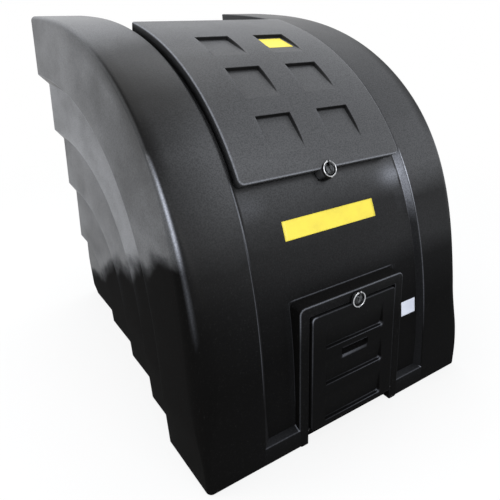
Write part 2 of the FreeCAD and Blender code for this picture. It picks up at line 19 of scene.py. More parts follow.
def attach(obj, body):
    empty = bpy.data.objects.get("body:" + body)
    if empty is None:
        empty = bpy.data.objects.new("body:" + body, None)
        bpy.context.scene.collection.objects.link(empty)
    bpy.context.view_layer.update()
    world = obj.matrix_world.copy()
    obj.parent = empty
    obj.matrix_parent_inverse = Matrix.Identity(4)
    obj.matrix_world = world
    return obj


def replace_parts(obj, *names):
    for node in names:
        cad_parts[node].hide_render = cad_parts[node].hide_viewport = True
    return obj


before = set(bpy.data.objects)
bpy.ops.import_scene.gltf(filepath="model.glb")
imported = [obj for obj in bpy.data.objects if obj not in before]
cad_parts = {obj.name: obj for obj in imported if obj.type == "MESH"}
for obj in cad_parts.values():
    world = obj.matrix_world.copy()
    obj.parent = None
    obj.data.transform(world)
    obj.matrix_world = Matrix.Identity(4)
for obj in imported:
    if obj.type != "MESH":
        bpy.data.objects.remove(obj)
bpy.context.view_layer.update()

MM = 0.001
PAINTED_LIGHT = "tone"      # vertex layer: painted highlights above 0, painted shade below 0
LOG = logging.getLogger("bunker")
Numbers = float | np.ndarray
Socket = bpy.types.NodeSocket


class Body(Enum):
    """The bodies that a piece can ride on."""

    BUNKER = "bunker"
    LID = "lid"
    DOOR = "door"
    LID_RING = "lid_lock_handle"
    DOOR_RING = "door_lock_handle"


class Slot(Enum):
    """Material slots."""

    PLASTIC = "black_plastic"
    STEEL = "hinge_steel"
    CHROME = "lock_chrome"
    ZINC = "lock_zinc"


# ---- grid and path helpers ------------------------------------------------------
def rounded_path(points: list, radii: list, steps: int = 4, fine: int = -1) -> np.ndarray:
    """Open path through corners, with each corner rounded.

    A corner is replaced by the arc that touches both of its sides: the arc's ends lie
    radius / tan(half angle) from the corner, and its points turn evenly about its centre.

    Args:
        points: Corner points of the path.
        radii: One radius for each inner corner; 0 keeps the corner.
        steps: Segments in each arc.
        fine: Number of the one inner corner whose arc has twice as many segments.

    Returns:
        The path's points, one row each.
    """
    corners = np.asarray(points, float)
    out = [corners[0]]
    counts = [2 * steps if number == fine else steps for number in range(len(radii))]
    for corner, before, after, radius, count in zip(corners[1:-1], corners[:-2], corners[2:], radii, counts):
        if radius <= 0.0:
            out.append(corner)
            continue
        u = (before - corner) / np.linalg.norm(before - corner)
        v = (after - corner) / np.linalg.norm(after - corner)
        half = 0.5 * math.acos(float(np.clip(u @ v, -1.0, 1.0)))
        middle = (u + v) / np.linalg.norm(u + v)
        centre = corner + middle * radius / math.sin(half)
        start = corner + u * radius / math.tan(half) - centre
        end = corner + v * radius / math.tan(half) - centre
        turn = math.pi - 2.0 * half
        w = np.linspace(0.0, 1.0, count + 1)[:, None]
        arc = (np.sin((1.0 - w) * turn) * start + np.sin(w * turn) * end) / math.sin(turn)
        out.extend(centre + arc)
    out.append(corners[-1])
    return np.array(out)


def densified(path: np.ndarray, longest: float, like: np.ndarray = None) -> np.ndarray:
    """Path with extra points: no segment of it, or of a like path, is longer than the given length.

    Args:
        path: Points of the path.
        longest: The greatest length.
        like: Path with as many points, where its lengths count instead.

    Returns:
        The denser path.
    """
    lengths = np.linalg.norm(np.diff(path if like is None else like, axis=0), axis=1)
    counts = np.maximum(1, np.ceil(lengths / longest)).astype(int)
    pieces = [a + (b - a) * np.linspace(0.0, 1.0, n, endpoint=False)[:, None]
              for a, b, n in zip(path[:-1], path[1:], counts)]
    return np.vstack(pieces + [path[-1:]])


def merged_lines(base: np.ndarray, fixed: list, clearance: float) -> np.ndarray:
    """Grid lines: the fixed ones, and the base ones that are not too near to them.

    Args:
        base: Even lines.
        fixed: Lines that have to be there.
        clearance: Nearest that a base line may come to a fixed one.

    Returns:
        All lines in order.
    """
    exact = np.unique(np.round(np.array(fixed, float), 5))
    gap = np.abs(base[:, None] - exact[None, :]).min(axis=1)
    return np.sort(np.concatenate([base[gap > clearance], exact]))


def mirrored(right: np.ndarray) -> np.ndarray:
    """Grid lines of both halves from those of the right half, which start at 0."""
    return np.concatenate([-right[:0:-1], right])


def smooth(t: np.ndarray) -> np.ndarray:
    """Smooth step: 0 below 0, 1 above 1, and 3t^2 - 2t^3 between."""
    t = np.clip(t, 0.0, 1.0)
    return t * t * (3.0 - 2.0 * t)


def grid_quads(rows: int, cols: int, keep: np.ndarray = None) -> np.ndarray:
    """Corner numbers of a grid's cells, so that rows going up and columns going right face the front.

    Args:
        rows: Number of grid rows.
        cols: Number of grid columns.
        keep: Mask of the cells that stay, one row and column fewer than the grid.

    Returns:
        An array of four corner numbers for each cell.
    """
    index = np.arange(rows * cols).reshape(rows, cols)
    quads = np.stack([index[:-1, :-1], index[:-1, 1:], index[1:, 1:], index[1:, :-1]], axis=-1)
    if keep is not None:
        quads = quads[keep]
    return quads.reshape(-1, 4)


def bell(value: np.ndarray, centre: float, width: float) -> np.ndarray:
    """Bell curve: e to the power of minus the square of the distance from the centre in widths."""
    return np.exp(-((value - centre) / width) ** 2)


def rise(value: np.ndarray, start: float, length: float) -> np.ndarray:
    """Smooth step from 0 to 1 that begins at a value and takes a length."""
    return smooth((value - start) / length)


def fall(value: np.ndarray, start: float, length: float) -> np.ndarray:
    """Smooth step from 1 to 0 that begins at a value and takes a length."""
    return 1.0 - rise(value, start, length)


@dataclass(frozen=True)
class Swell:
    """A value that rises smoothly from 0 to its peak over one stretch of height and falls over another."""

    peak: float
    rises: float
    rising: float
    falls: float = math.inf
    falling: float = 0.001

    def at(self, z: np.ndarray) -> np.ndarray:
        """The value at each height."""
        return self.peak * rise(z, self.rises, self.rising) * fall(z, self.falls, self.falling)


def near(points: np.ndarray, corner: tuple, reach: float) -> np.ndarray:
    """Bell of the distance from a corner: 1 at the corner, fading out over the reach."""
    return bell(np.linalg.norm(points - np.array(corner, float), axis=-1), 0.0, reach)


def border_loop(rows: int, cols: int) -> np.ndarray:
    """Numbers of a grid's border points, once round it."""
    index = np.arange(rows * cols).reshape(rows, cols)
    return np.concatenate([index[0, :-1], index[:-1, -1], index[-1, :0:-1], index[:0:-1, 0]])


def loop_outward(flat: np.ndarray) -> np.ndarray:
    """Unit vectors out of a closed flat loop, square to the chord between each point's neighbours.

    Args:
        flat: Points of the loop, one row each.

    Returns:
        One vector for each point.
    """
    tangent = np.roll(flat, -1, axis=0) - np.roll(flat, 1, axis=0)
    tangent /= np.linalg.norm(tangent, axis=1)[:, None]
    return np.stack([tangent[:, 1], -tangent[:, 0]], axis=1)


def ringed_quads(rows: int, cols: int, rings: int) -> tuple:
    """Cells of a grid and of the rings of points that follow it, each as long as its border.

    Args:
        rows: Number of grid rows.
        cols: Number of grid columns.
        rings: Number of rings after the grid's own points.

    Returns:
        The cells, and the numbers of the last ring's points.
    """
    before = border_loop(rows, cols)
    quads = [grid_quads(rows, cols)]
    for number in range(rings):
        after = rows * cols + number * len(before) + np.arange(len(before))
        quads.append(np.stack([before, after, np.roll(after, -1), np.roll(before, -1)], axis=1))
        before = after
    return np.vstack(quads), before


def spun(profile: np.ndarray, segments: int) -> tuple:
    """Profile of radius and length turned about an axis: radius times cosine and sine, and the length.

    Args:
        profile: Rows of radius and length.
        segments: Steps round the axis.

    Returns:
        Three grids, with a row for each step and one to close it.
    """
    turn = np.linspace(0.0, 2.0 * math.pi, segments + 1)[:, None]
    radius = profile[None, :, 0]
    return radius * np.cos(turn), radius * np.sin(turn), np.repeat(profile[None, :, 1], segments + 1, axis=0)


def make_piece(name: str, points: np.ndarray, quads: np.ndarray, polygons: list = (),
               sharp: float = 32.0, outward: bool = False, tone: np.ndarray = None) -> bpy.types.Object:
    """Mesh object from points in millimetres.

    Args:
        name: Name of the object.
        points: Vertex places, one row each.
        quads: Corner numbers of the four-sided faces.
        polygons: Further faces, as lists of corner numbers.
        sharp: Edges that turn by more than this many degrees stay sharp.
        outward: True to turn the faces of a closed shape outwards.
        tone: One value for each vertex: above 0 a painted highlight, below 0 painted shade.

    Returns:
        The new object, at the origin and unturned.
    """
    mesh = bpy.data.meshes.new(name)
    faces = quads.tolist() + [list(p) for p in polygons]
    mesh.from_pydata((points.reshape(-1, 3) * MM).tolist(), [], faces)
    if tone is not None:
        layer = mesh.attributes.new(PAINTED_LIGHT, "FLOAT", "POINT")
        layer.data.foreach_set("value", np.ascontiguousarray(tone, dtype=np.float32).ravel())
    work = bmesh.new()
    work.from_mesh(mesh)
    bmesh.ops.remove_doubles(work, verts=work.verts, dist=2e-6)
    bmesh.ops.dissolve_degenerate(work, edges=work.edges, dist=1e-7)
    loose = [v for v in work.verts if not v.link_faces]
    bmesh.ops.delete(work, geom=loose, context="VERTS")
    if outward:
        bmesh.ops.recalc_face_normals(work, faces=work.faces)
    work.to_mesh(mesh)
    work.free()
    mesh.shade_smooth()
    mesh.set_sharp_from_angle(angle=math.radians(sharp))
    piece = bpy.data.objects.new(name, mesh)
    bpy.context.scene.collection.objects.link(piece)
    return piece


def thicken(piece: bpy.types.Object, wall: float) -> None:
    """Give a skin its wall, inwards from the visible side.

    Args:
        piece: The skin.
        wall: Its thickness in millimetres.
    """
    modifier = piece.modifiers.new("wall", "SOLIDIFY")
    modifier.thickness = wall * MM
    modifier.offset = -1.0


# ---- side profile ---------------------------------------------------------------
@dataclass(frozen=True)
class SideProfile:
    """Quarter superellipses that stand on the foot of the back wall."""

    depth: float = 1000.0
    height: float = 918.0
    fullness: float = 2.85
    back: float = 507.9

    def at(self, angle: Numbers, depth: Numbers, height: Numbers, fullness: Numbers) -> tuple:
        """Depth and height of a curve's points: half axis times cosine or sine to the power 2/fullness.

        Args:
            angle: Angle of each point.
            depth: Half axis along Y.
            height: Half axis along Z.
            fullness: Exponent of the curve.

        Returns:
            Y and Z of the points.
        """
        power = 2.0 / fullness
        y = self.back - depth * np.maximum(np.cos(angle), 0.0) ** power
        z = height * np.maximum(np.sin(angle), 0.0) ** power
        return y, z

    def lifted(self, angle: Numbers, lift: float) -> tuple:
        """Points of the arch's own curve, moved outwards by a lift."""
        return self.at(angle, self.depth + lift, self.height + lift, self.fullness)

    def normal(self, angle: Numbers, lift: float) -> tuple:
        """Unit normal in the plane of the profile: the gradient of the curve's equation.

        Args:
            angle: Angle of each point.
            lift: How far the curve lies outside the arch.

        Returns:
            Y and Z of the normals.
        """
        power = 2.0 - 2.0 / self.fullness
        ny = -np.maximum(np.cos(angle), 0.0) ** power / (self.depth + lift)
        nz = np.maximum(np.sin(angle), 0.0) ** power / (self.height + lift)
        size = np.hypot(ny, nz)
        return ny / size, nz / size

    def angle_at_height(self, z: float, lift: float) -> float:
        """Angle of the point at a height."""
        return math.asin((z / (self.height + lift)) ** (self.fullness / 2.0))

    def angle_at_depth(self, y: float, lift: float) -> float:
        """Angle of the point at a depth."""
        return math.acos(((self.back - y) / (self.depth + lift)) ** (self.fullness / 2.0))


PROFILE = SideProfile()
FRONT = PROFILE.back - PROFILE.depth      # plane of the arches' feet


@dataclass(frozen=True)
class ArcRuler:
    """Measures lengths along one curve of the profile, from a start angle."""

    lift: float
    start: float

    def table(self) -> tuple:
        """Angles and the lengths up to them, added up over fine steps.

        Returns:
            The angles and the lengths.
        """
        angle = np.linspace(self.start, math.pi / 2.0, 4000)
        y, z = PROFILE.lifted(angle, self.lift)
        steps = np.hypot(np.diff(y), np.diff(z))
        return angle, np.concatenate([[0.0], np.cumsum(steps)])

    def angle(self, length: Numbers) -> np.ndarray:
        """Angle at a length."""
        angle, lengths = self.table()
        return np.interp(length, lengths, angle)

    def length(self, angle: Numbers) -> np.ndarray:
        """Length at an angle."""
        table, lengths = self.table()
        return np.interp(angle, table, lengths)


# ---- finishes -------------------------------------------------------------------
class NodeBook:
    """A material's node tree with short calls to add and join nodes."""

    def __init__(self, name: str) -> None:
        """Start an empty material with a surface shader.

        Args:
            name: Name of the material.
        """
        self.material = bpy.data.materials.new(name)
        self.material.use_nodes = True
        self.tree = self.material.node_tree
        self.shader = self.tree.nodes["Principled BSDF"]
        self.coordinates = self.add("ShaderNodeTexCoord").outputs["Object"]

    def add(self, kind: str, **settings: str) -> bpy.types.Node:
        """Add a node and set its properties.

        Args:
            kind: Type of the node.
            settings: Its properties.

        Returns:
            The node.
        """
        node = self.tree.nodes.new(kind)
        for key, value in settings.items():
            setattr(node, key, value)
        return node

    def feed(self, socket: Socket, value: Socket | float | tuple) -> None:
        """Give a socket a constant, or a link from another socket.

        Args:
            socket: The input.
            value: A constant or another socket.
        """
        if isinstance(value, Socket):
            self.tree.links.new(value, socket)
        else:
            socket.default_value = value

    def noise(self, scale: float, detail: float = 3.0, stretch: tuple = (1.0, 1.0, 1.0),
              roughness: float = 0.5) -> Socket:
        """Soft noise in object space, stretched along the axes.

        Args:
            scale: How fine it is.
            detail: Octaves.
            stretch: Factors for the three axes.
            roughness: Weight of the finer octaves.

        Returns:
            The noise, from 0 to 1.
        """
        mapping = self.add("ShaderNodeMapping")
        self.feed(mapping.inputs["Vector"], self.coordinates)
        mapping.inputs["Scale"].default_value = stretch
        node = self.add("ShaderNodeTexNoise")
        self.feed(node.inputs["Vector"], mapping.outputs["Vector"])
        node.inputs["Scale"].default_value = scale
        node.inputs["Detail"].default_value = detail
        node.inputs["Roughness"].default_value = roughness
        return node.outputs["Fac"]

    def ramp(self, value: Socket, low: float, high: float, to_low: float = 0.0, to_high: float = 1.0,
             soft: bool = True) -> Socket:
        """Carry a value from one range to another, and stop at both ends.

        Args:
            value: The value.
            low: Start of its range.
            high: End of its range.
            to_low: Result at the start.
            to_high: Result at the end.
            soft: True for a smooth step, False for a straight line.

        Returns:
            The result.
        """
        node = self.add("ShaderNodeMapRange")
        node.interpolation_type = "SMOOTHSTEP" if soft else "LINEAR"
        for name, number in (("From Min", low), ("From Max", high), ("To Min", to_low), ("To Max", to_high)):
            node.inputs[name].default_value = number
        self.feed(node.inputs["Value"], value)
        return node.outputs["Result"]

    def stops(self, value: Socket, pairs: tuple) -> Socket:
        """Grey that passes through pairs of value and brightness in straight lines, a little blue.

        Args:
            value: The value.
            pairs: Value and brightness of each stop.

        Returns:
            The colour.
        """
        node = self.add("ShaderNodeValToRGB")
        node.color_ramp.interpolation = "LINEAR"
        items = node.color_ramp.elements
        for _ in range(len(pairs) - 2):
            items.new(0.5)
        for item, (place, _) in zip(items, pairs):
            item.position = place
        for item, (_, grey) in zip(items, pairs):
            item.color = rgb(grey, grey * 1.02, grey * 1.07)
        self.feed(node.inputs["Fac"], value)
        return node.outputs["Color"]

    def axes(self, vector: Socket) -> dict:
        """The three parts of a vector by axis.

        Args:
            vector: The vector.

        Returns:
            Its parts under X, Y and Z.
        """
        node = self.add("ShaderNodeSeparateXYZ")
        self.feed(node.inputs[0], vector)
        return {axis: node.outputs[axis] for axis in "XYZ"}

    def spread(self, noise: Socket, low: float, high: float) -> Socket:
        """Carry the range in which most of a noise lies to another range."""
        return self.ramp(noise, 0.3, 0.7, low, high)

    def total(self, *values: Socket | float) -> Socket:
        """Sum of two or more values.

        Args:
            values: The values.

        Returns:
            The sum.
        """
        result = values[0]
        for value in values[1:]:
            result = self.math("ADD", result, value)
        return result

    def math(self, kind: str, a: Socket | float, b: Socket | float = 0.0) -> Socket:
        """One step of arithmetic between two values.

        Args:
            kind: The operation.
            a: First value.
            b: Second value.

        Returns:
            The result.
        """
        node = self.add("ShaderNodeMath", operation=kind)
        self.feed(node.inputs[0], a)
        self.feed(node.inputs[1], b)
        return node.outputs["Value"]

    def mix(self, factor: Socket, a: Socket | tuple, b: Socket | tuple) -> Socket:
        """Blend of two colours.

        Args:
            factor: Share of the second colour.
            a: First colour.
            b: Second colour.

        Returns:
            The blend.
        """
        node = self.add("ShaderNodeMix", data_type="RGBA")
        self.feed(node.inputs["Factor"], factor)
        self.feed(node.inputs["A"], a)
        self.feed(node.inputs["B"], b)
        return node.outputs["Result"]

    def bump(self, height: Socket, strength: float, distance: float, under: Socket = None) -> Socket:
        """Bumped normal from a height.

        Args:
            height: The height.
            strength: How much it counts.
            distance: Height in metres that 1 stands for.
            under: Normal that it is added to.

        Returns:
            The normal.
        """
        node = self.add("ShaderNodeBump")
        node.inputs["Strength"].default_value = strength
        node.inputs["Distance"].default_value = distance
        self.feed(node.inputs["Height"], height)
        if under is not None:
            self.feed(node.inputs["Normal"], under)
        return node.outputs["Normal"]


def rgb(r: float, g: float, b: float) -> tuple:
    """A linear colour with full opacity."""
    return (r, g, b, 1.0)


# Pairs of height in metres and brightness of the painted sky reflection, on the left and on the right of the
# front.
LEFT_SKY_REFLECTION = ((0.24, 0.0026), (0.40, 0.008), (0.46, 0.013), (0.53, 0.045), (0.59, 0.068), (0.66, 0.082),
              (0.78, 0.024), (0.86, 0.060), (0.914, 0.20))
RIGHT_SKY_REFLECTION = ((0.24, 0.0030), (0.34, 0.008), (0.40, 0.023), (0.50, 0.020), (0.565, 0.080),
               (0.66, 0.080), (0.75, 0.068), (0.90, 0.076))
# The lid's own painted sky reflection, by height.
LID_LEFT = ((0.0, 0.003), (0.55, 0.060), (0.62, 0.088), (0.70, 0.074), (0.77, 0.054), (0.83, 0.058),
            (0.89, 0.14))
LID_RIGHT = ((0.0, 0.003), (0.55, 0.070), (0.62, 0.096), (0.70, 0.096), (0.82, 0.120), (0.90, 0.135))
# Painted shade: a much darker painted sky reflection, for the lock's tab.
SHADED_REFLECTION = ((0.0, 0.0025), (0.6, 0.0035), (0.9, 0.010))
# Pairs of distance from the middle in metres and brightness of the painted reflection on the stepped sides.
SIDE_REFLECTION = ((0.28, 0.060), (0.318, 0.140), (0.340, 0.150), (0.350, 0.228), (0.366, 0.222),
              (0.378, 0.140))


@dataclass(frozen=True)
class MouldedPlastic:
    """Black moulded plastic: near black and dull below, with a painted grey reflection of the sky where the
    sky reaches it.
    """

    name: str = "moulded_plastic"
    deep: tuple = rgb(0.0022, 0.0021, 0.0020)
    # colour of the painted highlights
    edge: tuple = rgb(0.62, 0.65, 0.74)
    dust: tuple = rgb(0.30, 0.30, 0.29)
    # painted sky reflection on the front: its pairs, where it passes from left to right, how much its
    # heights waver, and soft patches that darken it
    left_reflection: tuple = LEFT_SKY_REFLECTION
    right_reflection: tuple = RIGHT_SKY_REFLECTION
    reflection_sides: tuple = (-0.32, 0.26)
    reflection_waver: float = 0.015
    cloud: float = 0.14
    # painted shade across the left arch: its strength, the widths over which it fades inwards, and the
    # heights over which it fades out at the top
    arch_shade: float = 0.68
    arch_side: tuple = (-0.385, -0.25)
    arch_top: tuple = (0.87, 0.80)
    # painted reflection on the outer sides above a border that falls towards the back; streaks, scuff
    # streaks and patches break it up
    side_reflection: tuple = SIDE_REFLECTION
    border: float = 0.300
    border_slope: float = -0.47
    border_streaks: float = 0.006
    border_patches: float = 0.035
    border_fade: tuple = (-0.030, 0.045)
    scuff: float = 0.28
    reflection_cloud: float = 0.34
    side_facing: tuple = (0.62, 0.95)
    gloss_heights: tuple = (0.28, 0.55)
    dull: float = 1.0
    gloss: float = 0.34
    specular: float = 0.06

    def painted_sky_reflection(self, book: NodeBook, place: dict, patches: Socket) -> tuple:
        """Colour of the painted sky reflection on the front, which changes with height and to the right,
        darkened by painted shade across the left arch and by soft patches, and its gloss.

        Args:
            book: Nodes of the material.
            place: Object coordinates by axis.
            patches: Soft noise.

        Returns:
            The colour and the share of gloss.
        """
        height = book.total(place["Z"], book.spread(patches, -self.reflection_waver, self.reflection_waver))
        sky_reflection = book.mix(book.ramp(place["X"], *self.reflection_sides, soft=False),
                         book.stops(height, self.left_reflection), book.stops(height, self.right_reflection))
        # painted shade across the left arch, fading out towards its top
        beside = book.ramp(place["X"], *self.arch_side, self.arch_shade, 0.0, soft=False)
        across = book.math("MULTIPLY", beside, book.ramp(place["Z"], *self.arch_top))
        cloudy = book.total(across, book.ramp(patches, 0.25, 0.75, 0.0, self.cloud))
        return book.mix(cloudy, sky_reflection, self.deep), book.ramp(height, *self.gloss_heights)

    def painted_side_reflection(self, book: NodeBook, place: dict, patches: Socket, streaks: Socket) -> tuple:
        """Colour and share of the painted reflection on the sides, above a border that falls towards the
        back.

        Args:
            book: Nodes of the material.
            place: Object coordinates by axis.
            patches: Soft noise.
            streaks: Finer noise.

        Returns:
            The colour and the share of gloss.
        """
        border = book.total(book.math("MULTIPLY", place["Y"], self.border_slope), self.border)
        above = book.total(book.math("SUBTRACT", place["Z"], border),
                           book.spread(streaks, -self.border_streaks, self.border_streaks),
                           book.spread(patches, -self.border_patches, self.border_patches))
        share = book.ramp(above, *self.border_fade)
        # painted reflection on the sides, broken up by streaks and patches
        side_reflection = book.stops(book.math("ABSOLUTE", place["X"]), self.side_reflection)
        scuffed = book.mix(book.ramp(streaks, 0.30, 0.60, self.scuff, 0.0), side_reflection, self.deep)
        clouded = book.mix(book.ramp(patches, 0.36, 0.70, 0.0, self.reflection_cloud), scuffed, self.deep)
        return book.mix(share, self.deep, clouded), share

    def material(self) -> bpy.types.Material:
        """Build the material.

        Faces that look up or forward carry the painted sky reflection and the outer sides their painted
        reflection. The vertex layer paints highlights where it is above 0 and shade where it is below 0.
        Fine specks are dark or dusty, and a grain over slow waves makes the surface uneven.

        Returns:
            The material.
        """
        book = NodeBook(self.name)
        place = book.axes(book.coordinates)
        facing = book.axes(book.add("ShaderNodeTexCoord").outputs["Normal"])
        patches = book.noise(3.4, 4.0, (1.0, 1.0, 1.4), 0.55)
        streaks = book.noise(6.0, 6.0, (1.0, 1.0, 1.3), 0.62)
        specks = book.noise(330.0, 2.0)
        side = book.ramp(book.math("ABSOLUTE", facing["X"]), *self.side_facing)
        front, front_gloss = self.painted_sky_reflection(book, place, patches)
        flank, flank_gloss = self.painted_side_reflection(book, place, patches, streaks)
        colour = book.mix(side, front, flank)
        # painted highlights and painted shade from the vertex layer
        tone = book.add("ShaderNodeAttribute", attribute_name=PAINTED_LIGHT).outputs["Fac"]
        colour = book.mix(book.ramp(tone, 0.0, 1.0, soft=False), colour, self.edge)
        colour = book.mix(book.ramp(tone, 0.0, -1.0, soft=False), colour, self.deep)
        colour = book.mix(book.ramp(specks, 0.35, 0.60, 0.30, 0.0), colour, self.deep)
        colour = book.mix(book.ramp(specks, 0.60, 0.80, 0.0, 0.030), colour, self.dust)
        book.feed(book.shader.inputs["Base Color"], colour)
        share = book.add("ShaderNodeMix", data_type="FLOAT")
        for name, value in (("Factor", side), ("A", front_gloss), ("B", flank_gloss)):
            book.feed(share.inputs[name], value)
        shine = book.ramp(share.outputs["Result"], 0.0, 1.0, self.dull, self.gloss)
        uneven = book.ramp(patches, 0.25, 0.75, -0.03, 0.06)
        book.feed(book.shader.inputs["Roughness"], book.total(shine, uneven))
        grain = book.bump(book.noise(240.0, 2.0), 0.30, 0.0006)
        book.feed(book.shader.inputs["Normal"], book.bump(book.noise(7.0, 2.0), 0.25, 0.003, grain))
        book.shader.inputs["Specular IOR Level"].default_value = self.specular
        return book.material


@dataclass(frozen=True)
class BrightMetal:
    """Plated or drawn metal with fine brush marks and dull patches."""

    name: str
    colour: tuple
    dull: tuple
    roughness: float = 0.18
    spread: float = 0.12
    marks: tuple = (1.0, 1.0, 1.0)

    def material(self) -> bpy.types.Material:
        """Build the material: dull patches from soft noise, brush marks as bump and roughness.

        Returns:
            The material.
        """
        book = NodeBook(self.name)
        patches = book.noise(90.0, 4.0)
        marks = book.noise(900.0, 2.0, self.marks)
        book.feed(book.shader.inputs["Base Color"],
                  book.mix(book.ramp(patches, 0.42, 0.75), self.colour, self.dull))
        book.feed(book.shader.inputs["Roughness"],
                  book.total(book.ramp(patches, 0.3, 0.8, self.roughness, self.roughness + self.spread),
                             book.spread(marks, -0.03, 0.05)))
        book.feed(book.shader.inputs["Normal"], book.bump(marks, 0.12, 0.0001))
        book.shader.inputs["Metallic"].default_value = 1.0
        return book.material


@dataclass(frozen=True)
class Vinyl:
    """Printed label film, a little uneven in colour and dusty at places."""

    name: str
    colour: tuple
    wear_and_highlight: tuple
    roughness: float = 0.38

    def material(self) -> bpy.types.Material:
        """Build the material: worn patches, a fine weave of dust and slight wrinkles.

        Returns:
            The material.
        """
        book = NodeBook(self.name)
        patches = book.noise(22.0, 4.0)
        dust = book.noise(700.0, 2.0)
        wear_and_highlight = book.mix(book.ramp(patches, 0.40, 0.72), self.colour, self.wear_and_highlight)
        dusted = book.mix(book.ramp(dust, 0.60, 0.80, 0.0, 0.22), wear_and_highlight, rgb(0.20, 0.19, 0.16))
        book.feed(book.shader.inputs["Base Color"], dusted)
        rough = book.spread(patches, self.roughness, self.roughness + 0.15)
        book.feed(book.shader.inputs["Roughness"], rough)
        book.feed(book.shader.inputs["Normal"], book.bump(book.noise(35.0, 2.0), 0.15, 0.001))
        return book.material


class Finish(Enum):
    """All finishes of the bunker."""

    PLASTIC = MouldedPlastic()
    # Copies of the plastic with other painted light: the lid's own painted sky reflection, and painted shade
    # for the lock's tab.
    LID_PLASTIC = MouldedPlastic("lid_plastic", left_reflection=LID_LEFT, right_reflection=LID_RIGHT)
    SHADED_PLASTIC = MouldedPlastic("shaded_plastic", left_reflection=SHADED_REFLECTION, right_reflection=SHADED_REFLECTION)
    CHROME = BrightMetal("bright_chrome", rgb(0.50, 0.51, 0.53), rgb(0.16, 0.17, 0.18), 0.10, 0.10)
    BLACK_STEEL = BrightMetal("blackened_steel", rgb(0.020, 0.020, 0.021), rgb(0.035, 0.035, 0.036),
                              0.40, 0.12)
    STEEL = BrightMetal("zinc_plated_steel", rgb(0.60, 0.61, 0.62), rgb(0.40, 0.40, 0.39), 0.30, 0.15,
                        (0.1, 1.0, 1.0))
    ZINC = BrightMetal("cast_zinc", rgb(0.48, 0.49, 0.50), rgb(0.30, 0.30, 0.30), 0.38, 0.18)
    DARK_CHROME = BrightMetal("dark_chrome", rgb(0.030, 0.031, 0.033), rgb(0.16, 0.17, 0.18), 0.22, 0.12)
    YELLOW = Vinyl("yellow_vinyl", rgb(0.80, 0.665, 0.062), rgb(0.72, 0.59, 0.058))
    WHITE = Vinyl("white_paper_label", rgb(0.58, 0.61, 0.70), rgb(0.49, 0.52, 0.61), 0.55)


@dataclass
class Dresser:
    """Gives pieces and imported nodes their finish; each material is made once."""

    def __post_init__(self) -> None:
        """Make every finish."""
        self.materials = {finish: finish.value.material() for finish in Finish}

    def dress(self, piece: bpy.types.Object, finish: Finish, body: Body) -> None:
        """Give a new piece its finish and the body that it rides on.

        Args:
            piece: The piece.
            finish: Its finish.
            body: The body that carries it.
        """
        piece.data.materials.clear()
        piece.data.materials.append(self.materials[finish])
        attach(piece, body.value)
        LOG.info("%s: %d faces, rides on %s, finish %s", piece.name, len(piece.data.polygons),
                 body.value, finish.name)

    def dress_all(self, pieces: list, finish: Finish, body: Body) -> list:
        """Give all pieces the same finish and body, and hand them back.

        Args:
            pieces: The pieces.
            finish: Their finish.
            body: The body that carries them.

        Returns:
            The same pieces.
        """
        for piece in pieces:
            self.dress(piece, finish, body)
        return pieces

    def dress_nodes(self, names: list, finish: Finish) -> None:
        """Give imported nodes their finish.

        Args:
            names: Names of the nodes.
            finish: Their finish.
        """
        for name in names:
            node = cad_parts[name]
            for holder in node.material_slots:
                holder.material = self.materials[finish]
            LOG.info("%s: packed node, finish %s", name, finish.name)


